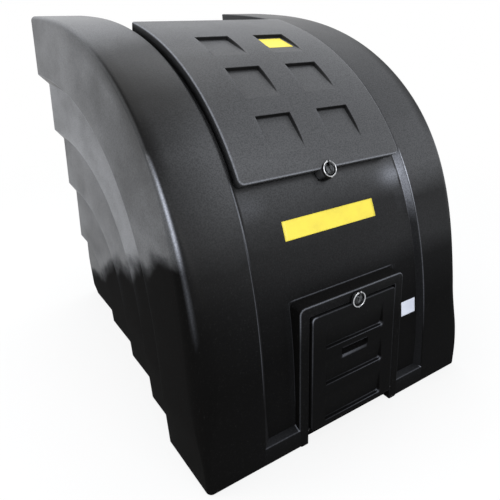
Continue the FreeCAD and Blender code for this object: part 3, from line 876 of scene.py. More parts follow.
# ---- body -----------------------------------------------------------------------
@dataclass
class BunkerShell:
    """One-piece moulding: arches, recessed panel, stepped sides, deck, back and base."""

    panel_lift: float = -16.0
    panel_half: float = 231.0
    arch_inner: float = 243.0
    top_half: float = 389.0
    foot_flare: float = 9.0
    flare_height: float = 125.0
    flare_softness: float = 0.004
    band_fullness: float = 2.64
    band_fronts: tuple = (188.0, 356.0, 555.0, 765.0)
    band_tops: tuple = (750.0, 578.0, 400.0, 215.0)
    band_steps: tuple = (28.0, 24.0, 19.0, 17.0)
    band_edge: float = 5.0
    band_foot: float = 8.0
    riser_run: float = 30.0
    panel_corner: float = 4.0
    arch_corner: float = 6.0
    crease: float = 13.0
    crease_growth: Swell = Swell(37.0, 40.0, 200.0, 280.0, 440.0)
    foot_round: float = 5.0
    wall: float = 5.5
    deck_z: float = 869.0
    deck_start: float = 129.9
    deck_spread: tuple = (203.0, 26.0)
    mouth_half: float = 195.0
    mouth_front: float = -320.1
    mouth_back: float = 97.9
    rim: float = 8.0
    rim_height: float = 12.0
    rim_slope: float = 1.2
    slot_half: float = 14.5
    slot_foot: float = 573.0
    porch_half: float = 140.0
    porch_top: float = 334.0
    seam_half: float = 154.6
    seam_top: float = 349.0
    rows: int = 150
    row_gap: float = 0.004
    longest_cell: float = 30.0
    middle_stations: tuple = (50.0, 95.0)
    seam_stations: tuple = (153.2, 154.4, 155.6)
    side_station: float = 170.0
    gutter_stations: tuple = (214.0, 224.5)
    panel_rows: tuple = (347.2, 348.4, 349.6, 351.2, 580.0, 586.0, 592.0)
    foot_rows: tuple = (0.6, 1.5, 2.8, 4.4, 6.5, 12.0)
    # Painted light by height: highlights on the crease, shade on it and on the side behind it, highlights on
    # the step edges and on the arches' inner walls, shade in the gutter, a painted shadow under the lid, and
    # the left and right strengths of a painted reflection spot on the panel.
    crease_highlight: Swell = Swell(0.72, 455.0, 90.0, 590.0, 100.0)
    faint_highlight: Swell = Swell(0.07, 300.0, 120.0, 520.0)
    crease_shade: Swell = Swell(0.62, 600.0, 90.0, 800.0, 80.0)
    side_shade: Swell = Swell(0.50, 560.0, 90.0, 690.0, 110.0)
    band_highlight: Swell = Swell(0.24, 60.0, 420.0)
    wall_edge: Swell = Swell(0.13, 130.0, 150.0, 440.0, 130.0)
    wall_light: Swell = Swell(1.0, 430.0, 115.0, 590.0, 25.0)
    gutter_shade: Swell = Swell(0.8, 490.0, 40.0)
    lid_shadow: Swell = Swell(0.72, 578.0, 12.0, 612.0, 26.0)
    spots: tuple = (0.035, 0.250)

    def section(self, crease: float) -> np.ndarray:
        """Cross-section of the right half as rows of width and reach.

        Reach is measured outwards from the arch's own curve: the panel lies below it,
        the arch on it, and the side with its steps goes inwards, band after band, to
        the foot of the back wall.

        Args:
            crease: Radius of the rounded crease between the arch's front and its side.

        Returns:
            The section's points, as many for every radius.
        """
        rim_half = self.mouth_half + self.rim
        inner = [0.0, self.slot_half - 0.05, *self.middle_stations, self.porch_half, *self.seam_stations,
                 self.side_station, self.mouth_half, rim_half, rim_half + self.rim_slope,
                 *self.gutter_stations]
        corners = [(x, self.panel_lift) for x in inner]
        radii = [0.0] * (len(inner) - 1)
        corners += [(self.panel_half, self.panel_lift), (self.arch_inner, 0.0), (self.top_half, 0.0)]
        radii += [self.panel_corner, self.arch_corner, crease]
        place = len(radii) - 1
        half = self.top_half
        for front, step in zip(self.band_fronts, self.band_steps):
            corners += [(half, -front), (half - step, -front - self.riser_run)]
            radii += [self.band_edge, self.band_foot]
            half -= step
        corners.append((half, -PROFILE.depth))
        usual = radii[:place] + [self.crease] + radii[place + 1:]
        return densified(rounded_path(corners, radii, 8, place), self.longest_cell,
                         rounded_path(corners, usual, 8, place))

    def crease_radius(self, z: np.ndarray) -> np.ndarray:
        """Radius of the crease at a height: small at the top and at the foot, and grown between them."""
        return self.crease + self.crease_growth.at(z)

    def half_axes(self, reach: np.ndarray) -> tuple:
        """Height and fullness of the curve at each reach, in straight lines between the known curves.

        Args:
            reach: Reach of each point.

        Returns:
            The height and the fullness of its curve.
        """
        knots = [-PROFILE.depth]
        tops = [0.0]
        for front, top in zip(reversed(self.band_fronts), reversed(self.band_tops)):
            knots += [-front - self.riser_run, -front]
            tops += [top - self.riser_run, top]
        beyond = 50.0
        knots += [-self.crease, beyond]
        tops += [PROFILE.height - self.crease, PROFILE.height + beyond]
        height = np.interp(reach, knots, tops)
        fullness = np.interp(reach, [-self.band_fronts[0], -self.crease],
                             [self.band_fullness, PROFILE.fullness])
        return height, fullness

    def row_angles(self) -> np.ndarray:
        """Angles of the grid rows: evenly eased towards both ends, with lines at every edge of the panel.

        Returns:
            The angles in order.
        """
        eased = 0.5 * math.pi * np.sin(0.5 * math.pi * np.linspace(0.0, 1.0, self.rows)) ** 2
        lift = self.panel_lift
        outer_front = self.mouth_front - self.rim
        outer_back = self.mouth_back + self.rim
        depths = [outer_front - self.rim_slope, outer_front, self.mouth_front, self.mouth_back, outer_back,
                  outer_back + self.rim_slope]
        fixed = [PROFILE.angle_at_depth(y, lift) for y in depths]
        levels = (self.porch_top, self.slot_foot, *self.panel_rows)
        fixed += [PROFILE.angle_at_height(z, lift) for z in levels]
        fixed += [PROFILE.angle_at_height(z, 0.0) for z in self.foot_rows]
        edge = PROFILE.angle_at_depth(self.deck_start, lift)
        fixed += [0.0, edge, edge + 0.001, math.pi / 2.0]
        return merged_lines(eased, fixed, self.row_gap)

    def skin(self) -> tuple:
        """Points and cells of the whole outer skin.

        Each point lies on the quarter curve that its reach names, at its row's angle. The
        rim of the mouth adds its height within its ring; behind the panel's edge the panel
        and the foot of the arches drop to the flat deck; below the flare's height the sides
        lean inwards evenly to the ground, and the lowest rows move inwards along a quarter
        circle, square to the section.

        Returns:
            The points, and the mask of the cells that stay.
        """
        angle = self.row_angles()[:, None]
        _, arch_z = PROFILE.lifted(angle[:, 0], 0.0)
        half = np.stack([self.section(float(radius)) for radius in self.crease_radius(arch_z)])
        left = half[:, ::-1] * np.array([-1.0, 1.0])
        section = np.concatenate([left[:, :-1], half], axis=1)
        x, reach = section[..., 0], section[..., 1]
        in_panel = reach <= self.panel_lift + 1e-6
        in_panel &= np.abs(x) < self.panel_half - 1.0
        y0, _ = PROFILE.lifted(angle, self.panel_lift)
        outside = np.maximum(np.abs(x) - self.mouth_half - self.rim,
                             np.maximum(self.mouth_front - self.rim - y0, y0 - self.mouth_back - self.rim))
        rim = self.rim_height * np.clip(1.0 - outside / self.rim_slope, 0.0, 1.0)
        reach = reach + np.where(in_panel, rim, 0.0)
        height, fullness = self.half_axes(reach)
        y, z = PROFILE.at(angle, PROFILE.depth + reach, height, fullness)
        behind = angle > PROFILE.angle_at_depth(self.deck_start, self.panel_lift) + 0.0005
        deck = behind & (np.abs(x) < self.arch_inner + 0.5) & (reach < 0.5 * self.panel_lift)
        shift = (self.arch_inner - self.panel_half) * rise(np.abs(x), *self.deck_spread)
        z = np.where(deck, self.deck_z + (reach - self.panel_lift), z)
        x = np.where(deck, x + np.sign(x) * shift, x)
        lean = 1.0 - z / self.flare_height
        lean = 0.5 * (lean + np.sqrt(lean ** 2 + self.flare_softness))
        outer = np.abs(x) - self.arch_inner
        share = np.where(reach < -self.crease, 1.0,
                         np.clip(outer / (self.top_half - self.arch_inner), 0.0, 1.0))
        x = x - np.sign(x) * self.foot_flare * lean * share
        tangent = np.gradient(section, axis=1)
        tangent /= np.linalg.norm(tangent, axis=2)[..., None]
        low = np.clip(self.foot_round - z, 0.0, self.foot_round)
        inset = self.foot_round - np.sqrt(self.foot_round ** 2 - low ** 2)
        x = x + inset * tangent[..., 1]
        y = y + inset * tangent[..., 0]
        points = np.stack([x, y, z], axis=-1)
        return points, self.kept_cells(points, in_panel)

    def kept_cells(self, points: np.ndarray, in_panel: np.ndarray) -> np.ndarray:
        """Mask of the skin's cells without the mouth, the lock slot and the porch behind the door.

        Args:
            points: Places of the skin's grid.
            in_panel: Mask of the points on the recessed panel.

        Returns:
            True for each cell that stays.
        """
        middle = 0.25 * (points[:-1, :-1] + points[:-1, 1:] + points[1:, 1:] + points[1:, :-1])
        x, y, z = np.abs(middle[..., 0]), middle[..., 1], middle[..., 2]
        panel = in_panel[:-1, :-1] & in_panel[:-1, 1:]
        mouth = (x < self.mouth_half) & (y > self.mouth_front) & (y < self.mouth_back)
        slot = (x < self.slot_half) & (z > self.slot_foot) & (y <= self.mouth_front)
        porch = (x < self.porch_half) & (z < self.porch_top)
        return ~(panel & (mouth | slot | porch))

    def crease_tones(self, section: np.ndarray, z: np.ndarray) -> tuple:
        """Painted highlight along the middle of the crease, and painted shade on it and on the side just
        behind it.

        Args:
            section: Width and reach of each column.
            z: Height of each point.

        Returns:
            The painted highlight and the painted shade.
        """
        width, reach = section[:, 0], section[:, 1]
        bend = np.degrees(np.arctan2(reach + self.crease, width - self.top_half + self.crease))
        on_crease = (width > self.top_half - self.crease - 0.5) & (reach > -self.crease - 0.5)
        spread = 12.0 * (self.crease / self.crease_radius(z)) ** 0.65
        highlight = on_crease * bell(bend, 45.0, spread)
        highlight = highlight * np.maximum(self.crease_highlight.at(z), self.faint_highlight.at(z))
        shade_behind = bell(reach, -30.0, 34.0) * (width > self.top_half - 2.0) * self.side_shade.at(z)
        return highlight, np.maximum(on_crease * self.crease_shade.at(z), shade_behind)

    def band_tones(self, section: np.ndarray, z: np.ndarray) -> np.ndarray:
        """Painted highlights on the edges of the steps on the sides.

        Args:
            section: Width and reach of each column.
            z: Height of each point.

        Returns:
            The painted highlight.
        """
        tone = np.zeros(z.shape)
        side = self.top_half
        for front, step in zip(self.band_fronts, self.band_steps):
            tone = np.maximum(tone, near(section, (side, -front), 1.0) * self.band_highlight.at(z))
            side -= step
        return tone

    def wall_tones(self, section: np.ndarray, z: np.ndarray, right: np.ndarray,
                   climb: np.ndarray) -> np.ndarray:
        """Painted light on the arches' inner walls: a painted highlight on the thin upper edge, a painted
        reflection on the wall, and painted glints along both edges.

        Args:
            section: Width and reach of each column.
            z: Height of each point.
            right: Mask of the right half.
            climb: How far up the wall's slope each column is, from 0 to 1.

        Returns:
            The painted light.
        """
        width = section[:, 0]
        wall = width > self.mouth_half
        edge = near(section, (self.arch_inner, 0.0), 1.4) * self.wall_edge.at(z)
        lit = self.wall_light.at(z)
        slope = rise(np.minimum(climb, 1.0 - climb), 0.0, 0.08) * wall * (width < self.arch_inner - 1.4)
        glint = np.where(right, 0.60 * lit + 0.40 * bell(z, 557.0, 15.0), 0.0)
        glint *= wall * (width < self.arch_inner + 2.0)
        glint *= np.maximum(bell(climb, 0.955, 0.030), 0.85 * bell(climb, 0.075, 0.040))
        return np.maximum.reduce([edge, slope * (0.010 + 0.31 * lit), glint])

    def seam_tones(self, width: np.ndarray, z: np.ndarray) -> np.ndarray:
        """Painted highlight: a thin line round the door's frame, over it and beside it."""
        over = 0.16 * bell(z, self.seam_top, 0.9) * (width < self.seam_half - 8.6)
        return np.maximum(over, 0.035 * bell(width, self.seam_half, 0.7) * (z < self.seam_top))

    def tones(self, points: np.ndarray) -> np.ndarray:
        """Painted light of every point of the skin.

        Each painted highlight belongs to the stations of the section near its corner, and a swell of
        height limits it. Below the lid's front corners the panel has a soft painted reflection spot,
        much stronger at the right. It has painted shade in the gutter at the foot of the wall and a
        painted shadow close under the lid. The strongest highlight counts, and the shade where there is
        none.

        Args:
            points: Places of the skin's grid.

        Returns:
            One tone for each point.
        """
        half = self.section(self.crease)
        section = np.vstack([half[::-1][:-1], half])
        width = section[:, 0]
        climb = (section[:, 1] - self.panel_lift) / -self.panel_lift
        floor = (climb < 0.01) & (width < self.panel_half - 3.0)
        z = points[..., 2]
        right = points[..., 0] > 0.0
        highlight, shade = self.crease_tones(section, z)
        # painted reflection spot on the panel below the lid's front corners, stronger at the right
        left_spot, right_spot = self.spots
        spot = np.where(points[..., 0] < 0.0, left_spot, right_spot)
        spot = bell(width, 212.0, 40.0) * bell(z, 553.0, 20.0) * spot
        tone = np.maximum.reduce([highlight, self.band_tones(section, z),
                                  self.wall_tones(section, z, right, climb), spot * floor])
        # painted shade in the gutter and painted shadow close under the lid
        gutter = (climb < 0.02) * bell(width, self.panel_half - 2.2, 1.6) * self.gutter_shade.at(z)
        lid_shadow = self.lid_shadow.at(z) * floor
        tone = np.maximum(tone * (1.0 - gutter), self.seam_tones(width, z) * floor) * (1.0 - lid_shadow)
        return np.where(tone > 0.004, tone, -np.maximum.reduce([shade, gutter, lid_shadow]))

    def cap(self, line: np.ndarray, level: np.ndarray, limit: float, notch: np.ndarray, first: int) -> list:
        """Faces that close the skin along one of its end rows.

        The row runs up one side, over an arch, down into the notch between the arches and
        back in mirror image. Strips join both sides up to the notch's floor, one face joins
        the floor to them, and one face closes the end of each arch.

        Args:
            line: Points of the row.
            level: How far each point is from the row's two ends, on the way to the notch.
            limit: Level just short of the notch's floor.
            notch: Mask of the points on the notch's floor.
            first: Number of the row's first vertex.

        Returns:
            The faces as lists of vertex numbers.
        """
        last = len(line) - 1
        below = int(np.argmax(level > limit)) - 1
        foot = int(np.argmax(notch))
        faces = [[k, k + 1, last - k - 1, last - k] for k in range(below)]
        faces.append([below] + list(range(foot, last - foot + 1)) + [last - below])
        faces.append(list(range(below, foot + 1)))
        faces.append(list(range(last - foot, last - below + 1)))
        return [[first + k for k in face] for face in faces]

    def build_skin(self) -> bpy.types.Object:
        """Outer skin with its back and base, given a wall.

        Returns:
            The piece.
        """
        points, keep = self.skin()
        rows, cols = points.shape[:2]
        back, base = points[-1], points[0]
        inner = np.abs(base[:, 0]) < self.arch_inner - 3.0
        low = (np.abs(back[:, 0]) < self.arch_inner + 1.0) & (back[:, 2] < self.deck_z + 8.5)
        faces = self.cap(back, back[:, 2], self.deck_z - 1.0, low, (rows - 1) * cols)
        front = FRONT - self.panel_lift
        ground = self.cap(base, -base[:, 1], -front - 1.0, inner & (base[:, 1] > front - 0.1), 0)
        faces += [face[::-1] for face in ground]
        piece = make_piece("bunker_shell", points, grid_quads(rows, cols, keep), faces, 30.0,
                           tone=self.tones(points))
        thicken(piece, self.wall)
        return piece

    def build(self, dresser: Dresser) -> list:
        """Build and dress the moulding's one piece."""
        return dresser.dress_all([self.build_skin()], Finish.PLASTIC, Body.BUNKER)


@dataclass
class DoorPorch:
    """Upright frame round the door, its sill and the sloped ledges beside it."""

    half: float = 153.0
    top: float = 347.0
    corner: float = 14.0
    foot_round: float = 9.0
    depth: float = 45.0
    opening: float = 25.5
    outer_edge: float = 5.5
    inner_edge: float = 4.5
    wall: float = 6.0
    recess: float = 21.0
    floor: float = 27.0
    shovel: float = 41.0
    sill_half: float = 126.0
    sill_top: float = 45.0
    lobe_radius: float = 14.5
    lobe_z: float = 329.0
    ledge_half: float = 243.6
    ledge_front: float = 46.0
    ledge_back: float = 55.0
    overlap: float = 3.0

    def outline(self, inset: float, radius: float) -> np.ndarray:
        """Upside-down U, moved inwards by an inset: two uprights, two round corners and a top.

        All outlines have the same points, so that they join into a grid. The feet have
        round outer corners. Where the lock passes, the top bulges upwards along a circle.

        Args:
            inset: How far it lies inside the frame.
            radius: Radius of its upper corners.

        Returns:
            Points of width and height, from the right foot to the left one.
        """
        half = self.half - inset
        top = self.top - inset
        turn = np.linspace(0.0, math.pi / 2.0, 7)
        foot = self.foot_round * (1.0 - np.cos(turn[:-1]))
        upright = np.concatenate([foot, np.linspace(self.foot_round, top - radius, 6)[:-1]])
        low = np.clip(self.foot_round - upright, 0.0, self.foot_round)
        limit = self.half - self.foot_round + np.sqrt(self.foot_round ** 2 - low ** 2)
        arc = np.stack([half - radius + radius * np.cos(turn), top - radius + radius * np.sin(turn)], 1)
        right = np.vstack([np.stack([np.minimum(half, limit), upright], 1), arc])
        sweep = np.linspace(0.0, math.pi / 2.0, 8)
        level = [70.0, 40.0, self.lobe_radius + 0.3]
        bulge = self.lobe_z + self.lobe_radius * np.sin(sweep) - top
        lift = np.concatenate([np.zeros(len(level)), bulge * rise(inset, 3.5, 19.0)])
        crown = np.stack([np.concatenate([level, self.lobe_radius * np.cos(sweep)]), top + lift], 1)
        side = np.vstack([right, crown])
        return np.vstack([side, side[-2::-1] * np.array([-1.0, 1.0])])

    def build_frame(self) -> bpy.types.Object:
        """Frame: a closed profile of insets and depths, carried round the outlines.

        Its outer side has painted shade, with a thin painted highlight along the front edge that is
        stronger along the top, and a fainter one along the opening's edge.

        Returns:
            The frame.
        """
        edge = self.outer_edge
        profile = rounded_path([(0.0, self.depth), (0.0, edge), (0.0, 0.0), (edge, 0.0),
                                (self.opening - self.inner_edge, 0.0), (self.opening, 0.0),
                                (self.opening, self.recess), (self.shovel, self.recess),
                                (self.shovel, self.floor), (self.wall, self.floor), (self.wall, self.depth)],
                               [0.0, 4.0, 0.0, 0.0, 3.0, 2.0, 1.0, 0.0, 0.0], 6)
        # painted highlights along the front edge and the opening's edge; painted shade on the outer side
        wear_and_highlight = 0.21 * near(profile, (1.2, 1.2), 1.3) + 0.06 * near(profile, (self.opening - 0.9, 0.9), 1.0)
        outer = (profile[:, 0] < 0.1) & (profile[:, 1] > self.inner_edge)
        loops = []
        tones = []
        for (inset, depth), line, side in zip(profile, wear_and_highlight, outer):
            path = self.outline(inset, max(self.corner - inset, 3.5))
            loops.append(np.stack([path[:, 0], np.full(len(path), FRONT + depth), path[:, 1]], 1))
            share = 0.22 + 0.78 * rise(path[:, 1], 285.0, 40.0)
            tones.append(np.where(line > 0.012, line * share, -0.6 * side))
        grid = np.array(loops + loops[:1])
        tone = np.array(tones + tones[:1])
        rows, cols = grid.shape[:2]
        index = np.arange(rows * cols).reshape(rows, cols)[:-1]
        ends = [index[:, 0], index[::-1, -1]]
        return make_piece("door_frame", grid, grid_quads(rows, cols), ends, 35.0, True, tone)

    def build_bar(self, name: str, x0: float, x1: float, profile: np.ndarray, hidden: float = 0.0,
                  slant: float = 0.0, glow: float = 0.0) -> bpy.types.Object:
        """Bar along X: a closed profile of depths and heights between two ends.

        Args:
            name: Name of the piece.
            x0: Left end.
            x1: Right end at the front.
            profile: Depths and heights of the section.
            hidden: Length of the right end that its neighbour covers.
            slant: How far the right end draws back for each millimetre of depth, down to 16 mm.
            glow: Strength of the painted highlight on the upper face; stronger at its edges, and strongest
                at its right end.

        Returns:
            The bar.
        """
        closed = np.vstack([profile, profile[:1]])
        count = len(closed)
        end = x1 - slant * np.clip(closed[:, 0], 0.0, 16.0)
        lines = [x0 + (end - x0) * share for share in (0.0, 0.25, 0.5, 0.75)]
        lines += [end - hidden - back for back in (3.4, 2.4, 1.2, 0.0)] + [end]
        # painted highlight on the upper face, brightest near the right end, and along the front edge
        brightness = np.array([1.0, 0.9, 0.8, 0.6, 0.5, 8.0, 11.0, 8.0, 6.0])[:, None]
        grid = np.array([np.stack([x, FRONT + closed[:, 0], closed[:, 1]], 1) for x in lines])
        upper = (closed[:, 1] > self.ledge_front - 3.0) & (closed[:, 0] > 0.5)
        front = near(closed, (0.8, self.ledge_front - 0.4), 1.4)
        tone = glow * (upper * brightness + 3.0 * front)
        last = (len(lines) - 1) * count
        ends = [list(range(count - 1)), [last + i for i in range(count - 1)][::-1]]
        return make_piece(name, grid, grid_quads(len(lines), count), ends, 35.0, True, tone)

    def build(self, dresser: Dresser) -> list:
        """Build and dress the frame, the sill and both ledges.

        Args:
            dresser: Gives the finishes.

        Returns:
            The pieces.
        """
        sill_back = self.floor + 12.0
        sill = rounded_path([(self.recess + 2.0, 0.0), (self.recess, 0.0), (self.recess, self.sill_top),
                             (sill_back, self.sill_top), (sill_back, 0.0)], [0.0, 3.0, 3.0], 4)
        ledge = rounded_path([(8.0, 0.0), (0.0, 0.0), (0.0, self.ledge_front), (21.0, self.ledge_back),
                              (self.depth, self.ledge_back), (self.depth, 0.0)], [4.5, 4.0, 3.0, 0.0], 4)
        start = self.half - self.overlap
        pieces = [self.build_frame(),
                  self.build_bar("door_sill", -self.sill_half, self.sill_half, sill),
                  self.build_bar("left_ledge", -self.ledge_half, -start, ledge, self.overlap, 0.0, 0.020),
                  self.build_bar("right_ledge", start, self.ledge_half, ledge, 0.4, 0.75, 0.026)]
        return dresser.dress_all(pieces, Finish.PLASTIC, Body.BUNKER)


# ---- lid ------------------------------------------------------------------------
@dataclass
class Lid:
    """Curved lid with a skirt, six sunk pads and a round tab for its lock."""

    half: float = 228.0
    lift: float = 12.0
    front_z: float = 606.0
    back: float = 139.9
    corner: float = 14.0
    edge: float = 4.5
    skirt: float = 26.0
    wall: float = 4.2
    pad_inner: float = 39.0
    pad_outer: float = 129.5
    pad_rows: tuple = ((-19.1, -120.1), (-167.1, -255.1), (-294.1, -358.1))
    pad_depth: float = 10.0
    slope: float = 1.6
    tab_radius: float = 20.0
    tab_bore: float = 8.3
    tab_z: float = 601.5
    tab_rise: float = 0.3
    ring_lean: float = 9.0
    bend_from: float = 150.0

    def __post_init__(self) -> None:
        """Work out where the lid starts and how long it is along its curve."""
        self.start = PROFILE.angle_at_height(self.front_z, self.lift)
        self.ruler = ArcRuler(self.lift, self.start)
        self.length = float(self.ruler.length(PROFILE.angle_at_depth(self.back, self.lift)))
        self.pads = [tuple(float(self.ruler.length(PROFILE.angle_at_depth(y, self.lift))) for y in row)
                     for row in self.pad_rows]

    def pad_sink(self, x: np.ndarray, along: np.ndarray) -> np.ndarray:
        """How far the pads sink the lid at places across and along it.

        A pad's floor is the straight line from its deep upper edge to its flush lower edge.
        The sink is the distance from the curve to that line, faded to nothing over the
        sloped walls at the sides and at the upper edge.

        Args:
            x: Places across it.
            along: Lengths along it.

        Returns:
            The sink at each place.
        """
        sink = np.zeros(np.broadcast(x, along).shape)
        angle = self.ruler.angle(along)
        y, z = PROFILE.lifted(angle, self.lift)
        ny, nz = PROFILE.normal(angle, self.lift)
        for top, low in self.pads:
            ends = self.ruler.angle(np.array([top, low]))
            ey, ez = PROFILE.lifted(ends, self.lift)
            ty, tz = PROFILE.normal(ends[:1], self.lift)
            deep = np.array([ey[0] - self.pad_depth * ty[0], ez[0] - self.pad_depth * tz[0]])
            chord = deep - np.array([ey[1], ez[1]])
            my, mz = -chord[1], chord[0]
            depth = ((y - ey[1]) * my + (z - ez[1]) * mz) / (ny * my + nz * mz)
            depth = np.where((along > low - 1.0) & (along < top + 8.0), np.maximum(depth, 0.0), 0.0)
            across = np.minimum(np.abs(x) - self.pad_inner, self.pad_outer - np.abs(x))
            wall = rise(across, -self.slope, 2.0 * self.slope)
            wall = wall * fall(along, top - self.slope, 2.0 * self.slope)
            sink = np.maximum(sink, depth * wall)
        return sink

    def pad_tones(self, x: np.ndarray, along: np.ndarray) -> np.ndarray:
        """Painted light on the pads' walls, from how fast the sink changes: painted shade where it ends
        upwards or to the right, and a little painted highlight where it starts at the left.

        Args:
            x: Places across it.
            along: Lengths along it.

        Returns:
            The tone at each place.
        """
        sink = self.pad_sink(x, along)
        step = 0.4
        climb = (self.pad_sink(x, along + step) - sink) / step
        across = (self.pad_sink(x + step, along) - sink) / step
        darkest = -0.95
        tone = darkest * smooth(-climb / 2.0) - 0.70 * smooth(-across / 2.0)
        return np.where(tone < -0.02, np.maximum(tone, darkest), 0.05 * smooth(across / 2.0))

    def place(self, x: np.ndarray, along: np.ndarray, lift: float = 0.0) -> tuple:
        """Points and normals of the lid's face at places across and along it, with an extra lift.

        Args:
            x: Places across it.
            along: Lengths along it.
            lift: How far the points lie over the face.

        Returns:
            The points and the normals.
        """
        angle = self.ruler.angle(along)
        y, z = PROFILE.lifted(angle, self.lift)
        ny, nz = PROFILE.normal(angle, self.lift)
        sink = self.pad_sink(x, along) - lift
        points = np.stack([x + 0.0 * y, y - sink * ny, z - sink * nz], axis=-1)
        normals = np.stack([np.zeros_like(points[..., 0]), ny + 0.0 * x, nz + 0.0 * x], axis=-1)
        return points, normals

    def lines(self) -> tuple:
        """Grid lines across and along the lid, with extra ones at every wall of the pads.

        Returns:
            The lines across and the lines along.
        """
        wall = np.array([-1.0, -0.5, 0.0, 0.5, 1.0]) * self.slope
        across = [0.0, self.half - self.corner]
        for edge in (self.pad_inner, self.pad_outer):
            across += list(edge + wall)
        right = merged_lines(np.linspace(0.0, self.half - self.corner, 16), across, 3.0)
        turn = np.linspace(0.0, math.pi / 2.0, 7)
        front = self.corner - (self.corner - self.edge) * np.cos(turn)
        back = self.length - 6.0 + (6.0 - self.edge) * np.sin(turn[::2])
        fixed = list(front) + list(back)
        for top, low in self.pads:
            fixed += list(top + wall) + [low - 1.5, low, low + 2.0]
        base = np.linspace(self.edge, self.length - self.edge, 90)
        along = merged_lines(base, fixed, 2.0)
        inside = (along >= self.edge - 1e-6) & (along <= self.length - self.edge + 1e-6)
        return mirrored(right), along[inside]

    def half_width(self, along: np.ndarray) -> np.ndarray:
        """Half width inside the rounded edge: full, and on a circle at the front corners.

        Args:
            along: Lengths along the lid.

        Returns:
            The half width at each.
        """
        inner = self.corner - self.edge
        into = np.clip(self.corner - along, 0.0, inner)
        return self.half - self.corner + np.sqrt(np.maximum(inner ** 2 - into ** 2, 0.0))

    def build_shell(self) -> bpy.types.Object:
        """Face, rounded edge and skirt in one skin.

        The face is a grid inside the edge. Round its border run loops of points that turn
        about the edge's centre line from the face's normal to the outward direction, and
        then go straight down to the skirt's foot.

        Returns:
            The piece.
        """
        across, along = self.lines()
        straight = self.half - self.corner
        fade = np.clip((np.abs(across) - self.bend_from) / (straight - self.bend_from), 0.0, 1.0)
        extra = self.half_width(along)[:, None] - straight
        x = across[None, :] + np.sign(across)[None, :] * fade[None, :] * extra
        s = np.repeat(along[:, None], len(across), axis=1)
        points, normals = self.place(x, s)
        rows, cols = x.shape
        loop = border_loop(rows, cols)
        outward = loop_outward(np.stack([x, s], axis=-1).reshape(-1, 2)[loop])
        border = points.reshape(-1, 3)[loop]
        normal = normals.reshape(-1, 3)[loop]
        forward = np.stack([np.zeros(len(loop)), normal[:, 2], -normal[:, 1]], axis=1)
        out = outward[:, :1] * np.array([1.0, 0.0, 0.0]) + outward[:, 1:] * forward
        rings = [points.reshape(-1, 3)]
        tones = [self.pad_tones(x, s).ravel()]
        for turn in np.linspace(0.0, math.pi / 2.0, 6)[1:]:
            rings.append(border + self.edge * (np.sin(turn) * out + (np.cos(turn) - 1.0) * normal))
            # painted highlight along the middle of the rounded edge, and painted shade as it turns down to
            # the skirt
            tones.append(np.full(len(loop), 0.24 * math.sin(2.0 * turn) ** 2 - 0.8 * max(turn - 1.2, 0.0)))
        for drop in (12.0, self.skirt):
            rings.append(border + self.edge * out - drop * normal)
            # painted shade on the skirt
            tones.append(np.full(len(loop), -0.6))
        quads, _ = ringed_quads(rows, cols, len(rings) - 1)
        piece = make_piece("lid_shell", np.vstack(rings), quads, (), 34.0, tone=np.concatenate(tones))
        thicken(piece, self.wall)
        return piece

    def tab_frame(self, lift: float) -> np.ndarray:
        """Frame on the lid's curve at the tab, square to it and lifted out of it.

        Args:
            lift: How far the frame lies over the curve.

        Returns:
            The matrix.
        """
        angle = PROFILE.angle_at_height(self.tab_z, self.lift)
        normal = Vector((0.0, *(float(v) for v in PROFILE.normal(angle, self.lift))))
        origin = Vector((0.0, *(float(v) for v in PROFILE.lifted(angle, self.lift))))
        return lock_frame(origin + normal * lift, normal)

    def build_tab(self) -> bpy.types.Object:
        """Round tab of the lock: a turned profile with a soft rim, square to the lid's face.

        Returns:
            The piece.
        """
        inside = self.tab_radius - 5.0
        under = -5.3
        profile = rounded_path([(self.tab_bore, self.tab_rise), (self.tab_radius, self.tab_rise),
                                (self.tab_radius, -self.skirt), (inside, -self.skirt),
                                (inside, under), (self.tab_bore, under)], [3.0, 1.0, 1.0, 2.0], 4)
        return turned("lid_tab", profile, self.tab_frame(0.0))

    def build(self, dresser: Dresser) -> list:
        """Build and dress the lid's shell and tab.

        Args:
            dresser: Gives the finishes.

        Returns:
            The pieces.
        """
        pieces = [self.build_shell(), self.build_tab()]
        # the tab takes the copy of the plastic with painted shade
        for piece, finish in zip(pieces, (Finish.LID_PLASTIC, Finish.SHADED_PLASTIC)):
            dresser.dress(piece, finish, Body.LID)
        return pieces


def lock_frame(origin: Vector, normal: Vector) -> np.ndarray:
    """Matrix that carries a lock's own frame (+Z out of the face, +Y up it) to its place.

    Args:
        origin: Middle of the lock on the face.
        normal: Direction out of the face.

    Returns:
        The matrix.
    """
    up = Vector((0.0, 0.0, 1.0)) - normal * normal.z
    up.normalize()
    side = up.cross(normal)
    matrix = np.eye(4)
    matrix[:3, 0], matrix[:3, 1], matrix[:3, 2], matrix[:3, 3] = side, up, normal, origin
    return matrix


def carried(points: np.ndarray, matrix: np.ndarray) -> np.ndarray:
    """Points moved by a matrix."""
    return points @ matrix[:3, :3].T + matrix[:3, 3]


def turned(name: str, profile: np.ndarray, matrix: np.ndarray) -> bpy.types.Object:
    """Ring turned about the lock's axis from a closed profile of radius and height.

    Args:
        name: Name of the piece.
        profile: Rows of radius and height.
        matrix: Place of the lock's frame.

    Returns:
        The piece.
    """
    x, y, z = spun(np.vstack([profile, profile[:1]]), 48)
    points = carried(np.stack([x, y, z], axis=-1), matrix)
    return make_piece(name, points, grid_quads(*x.shape), (), 35.0, True)


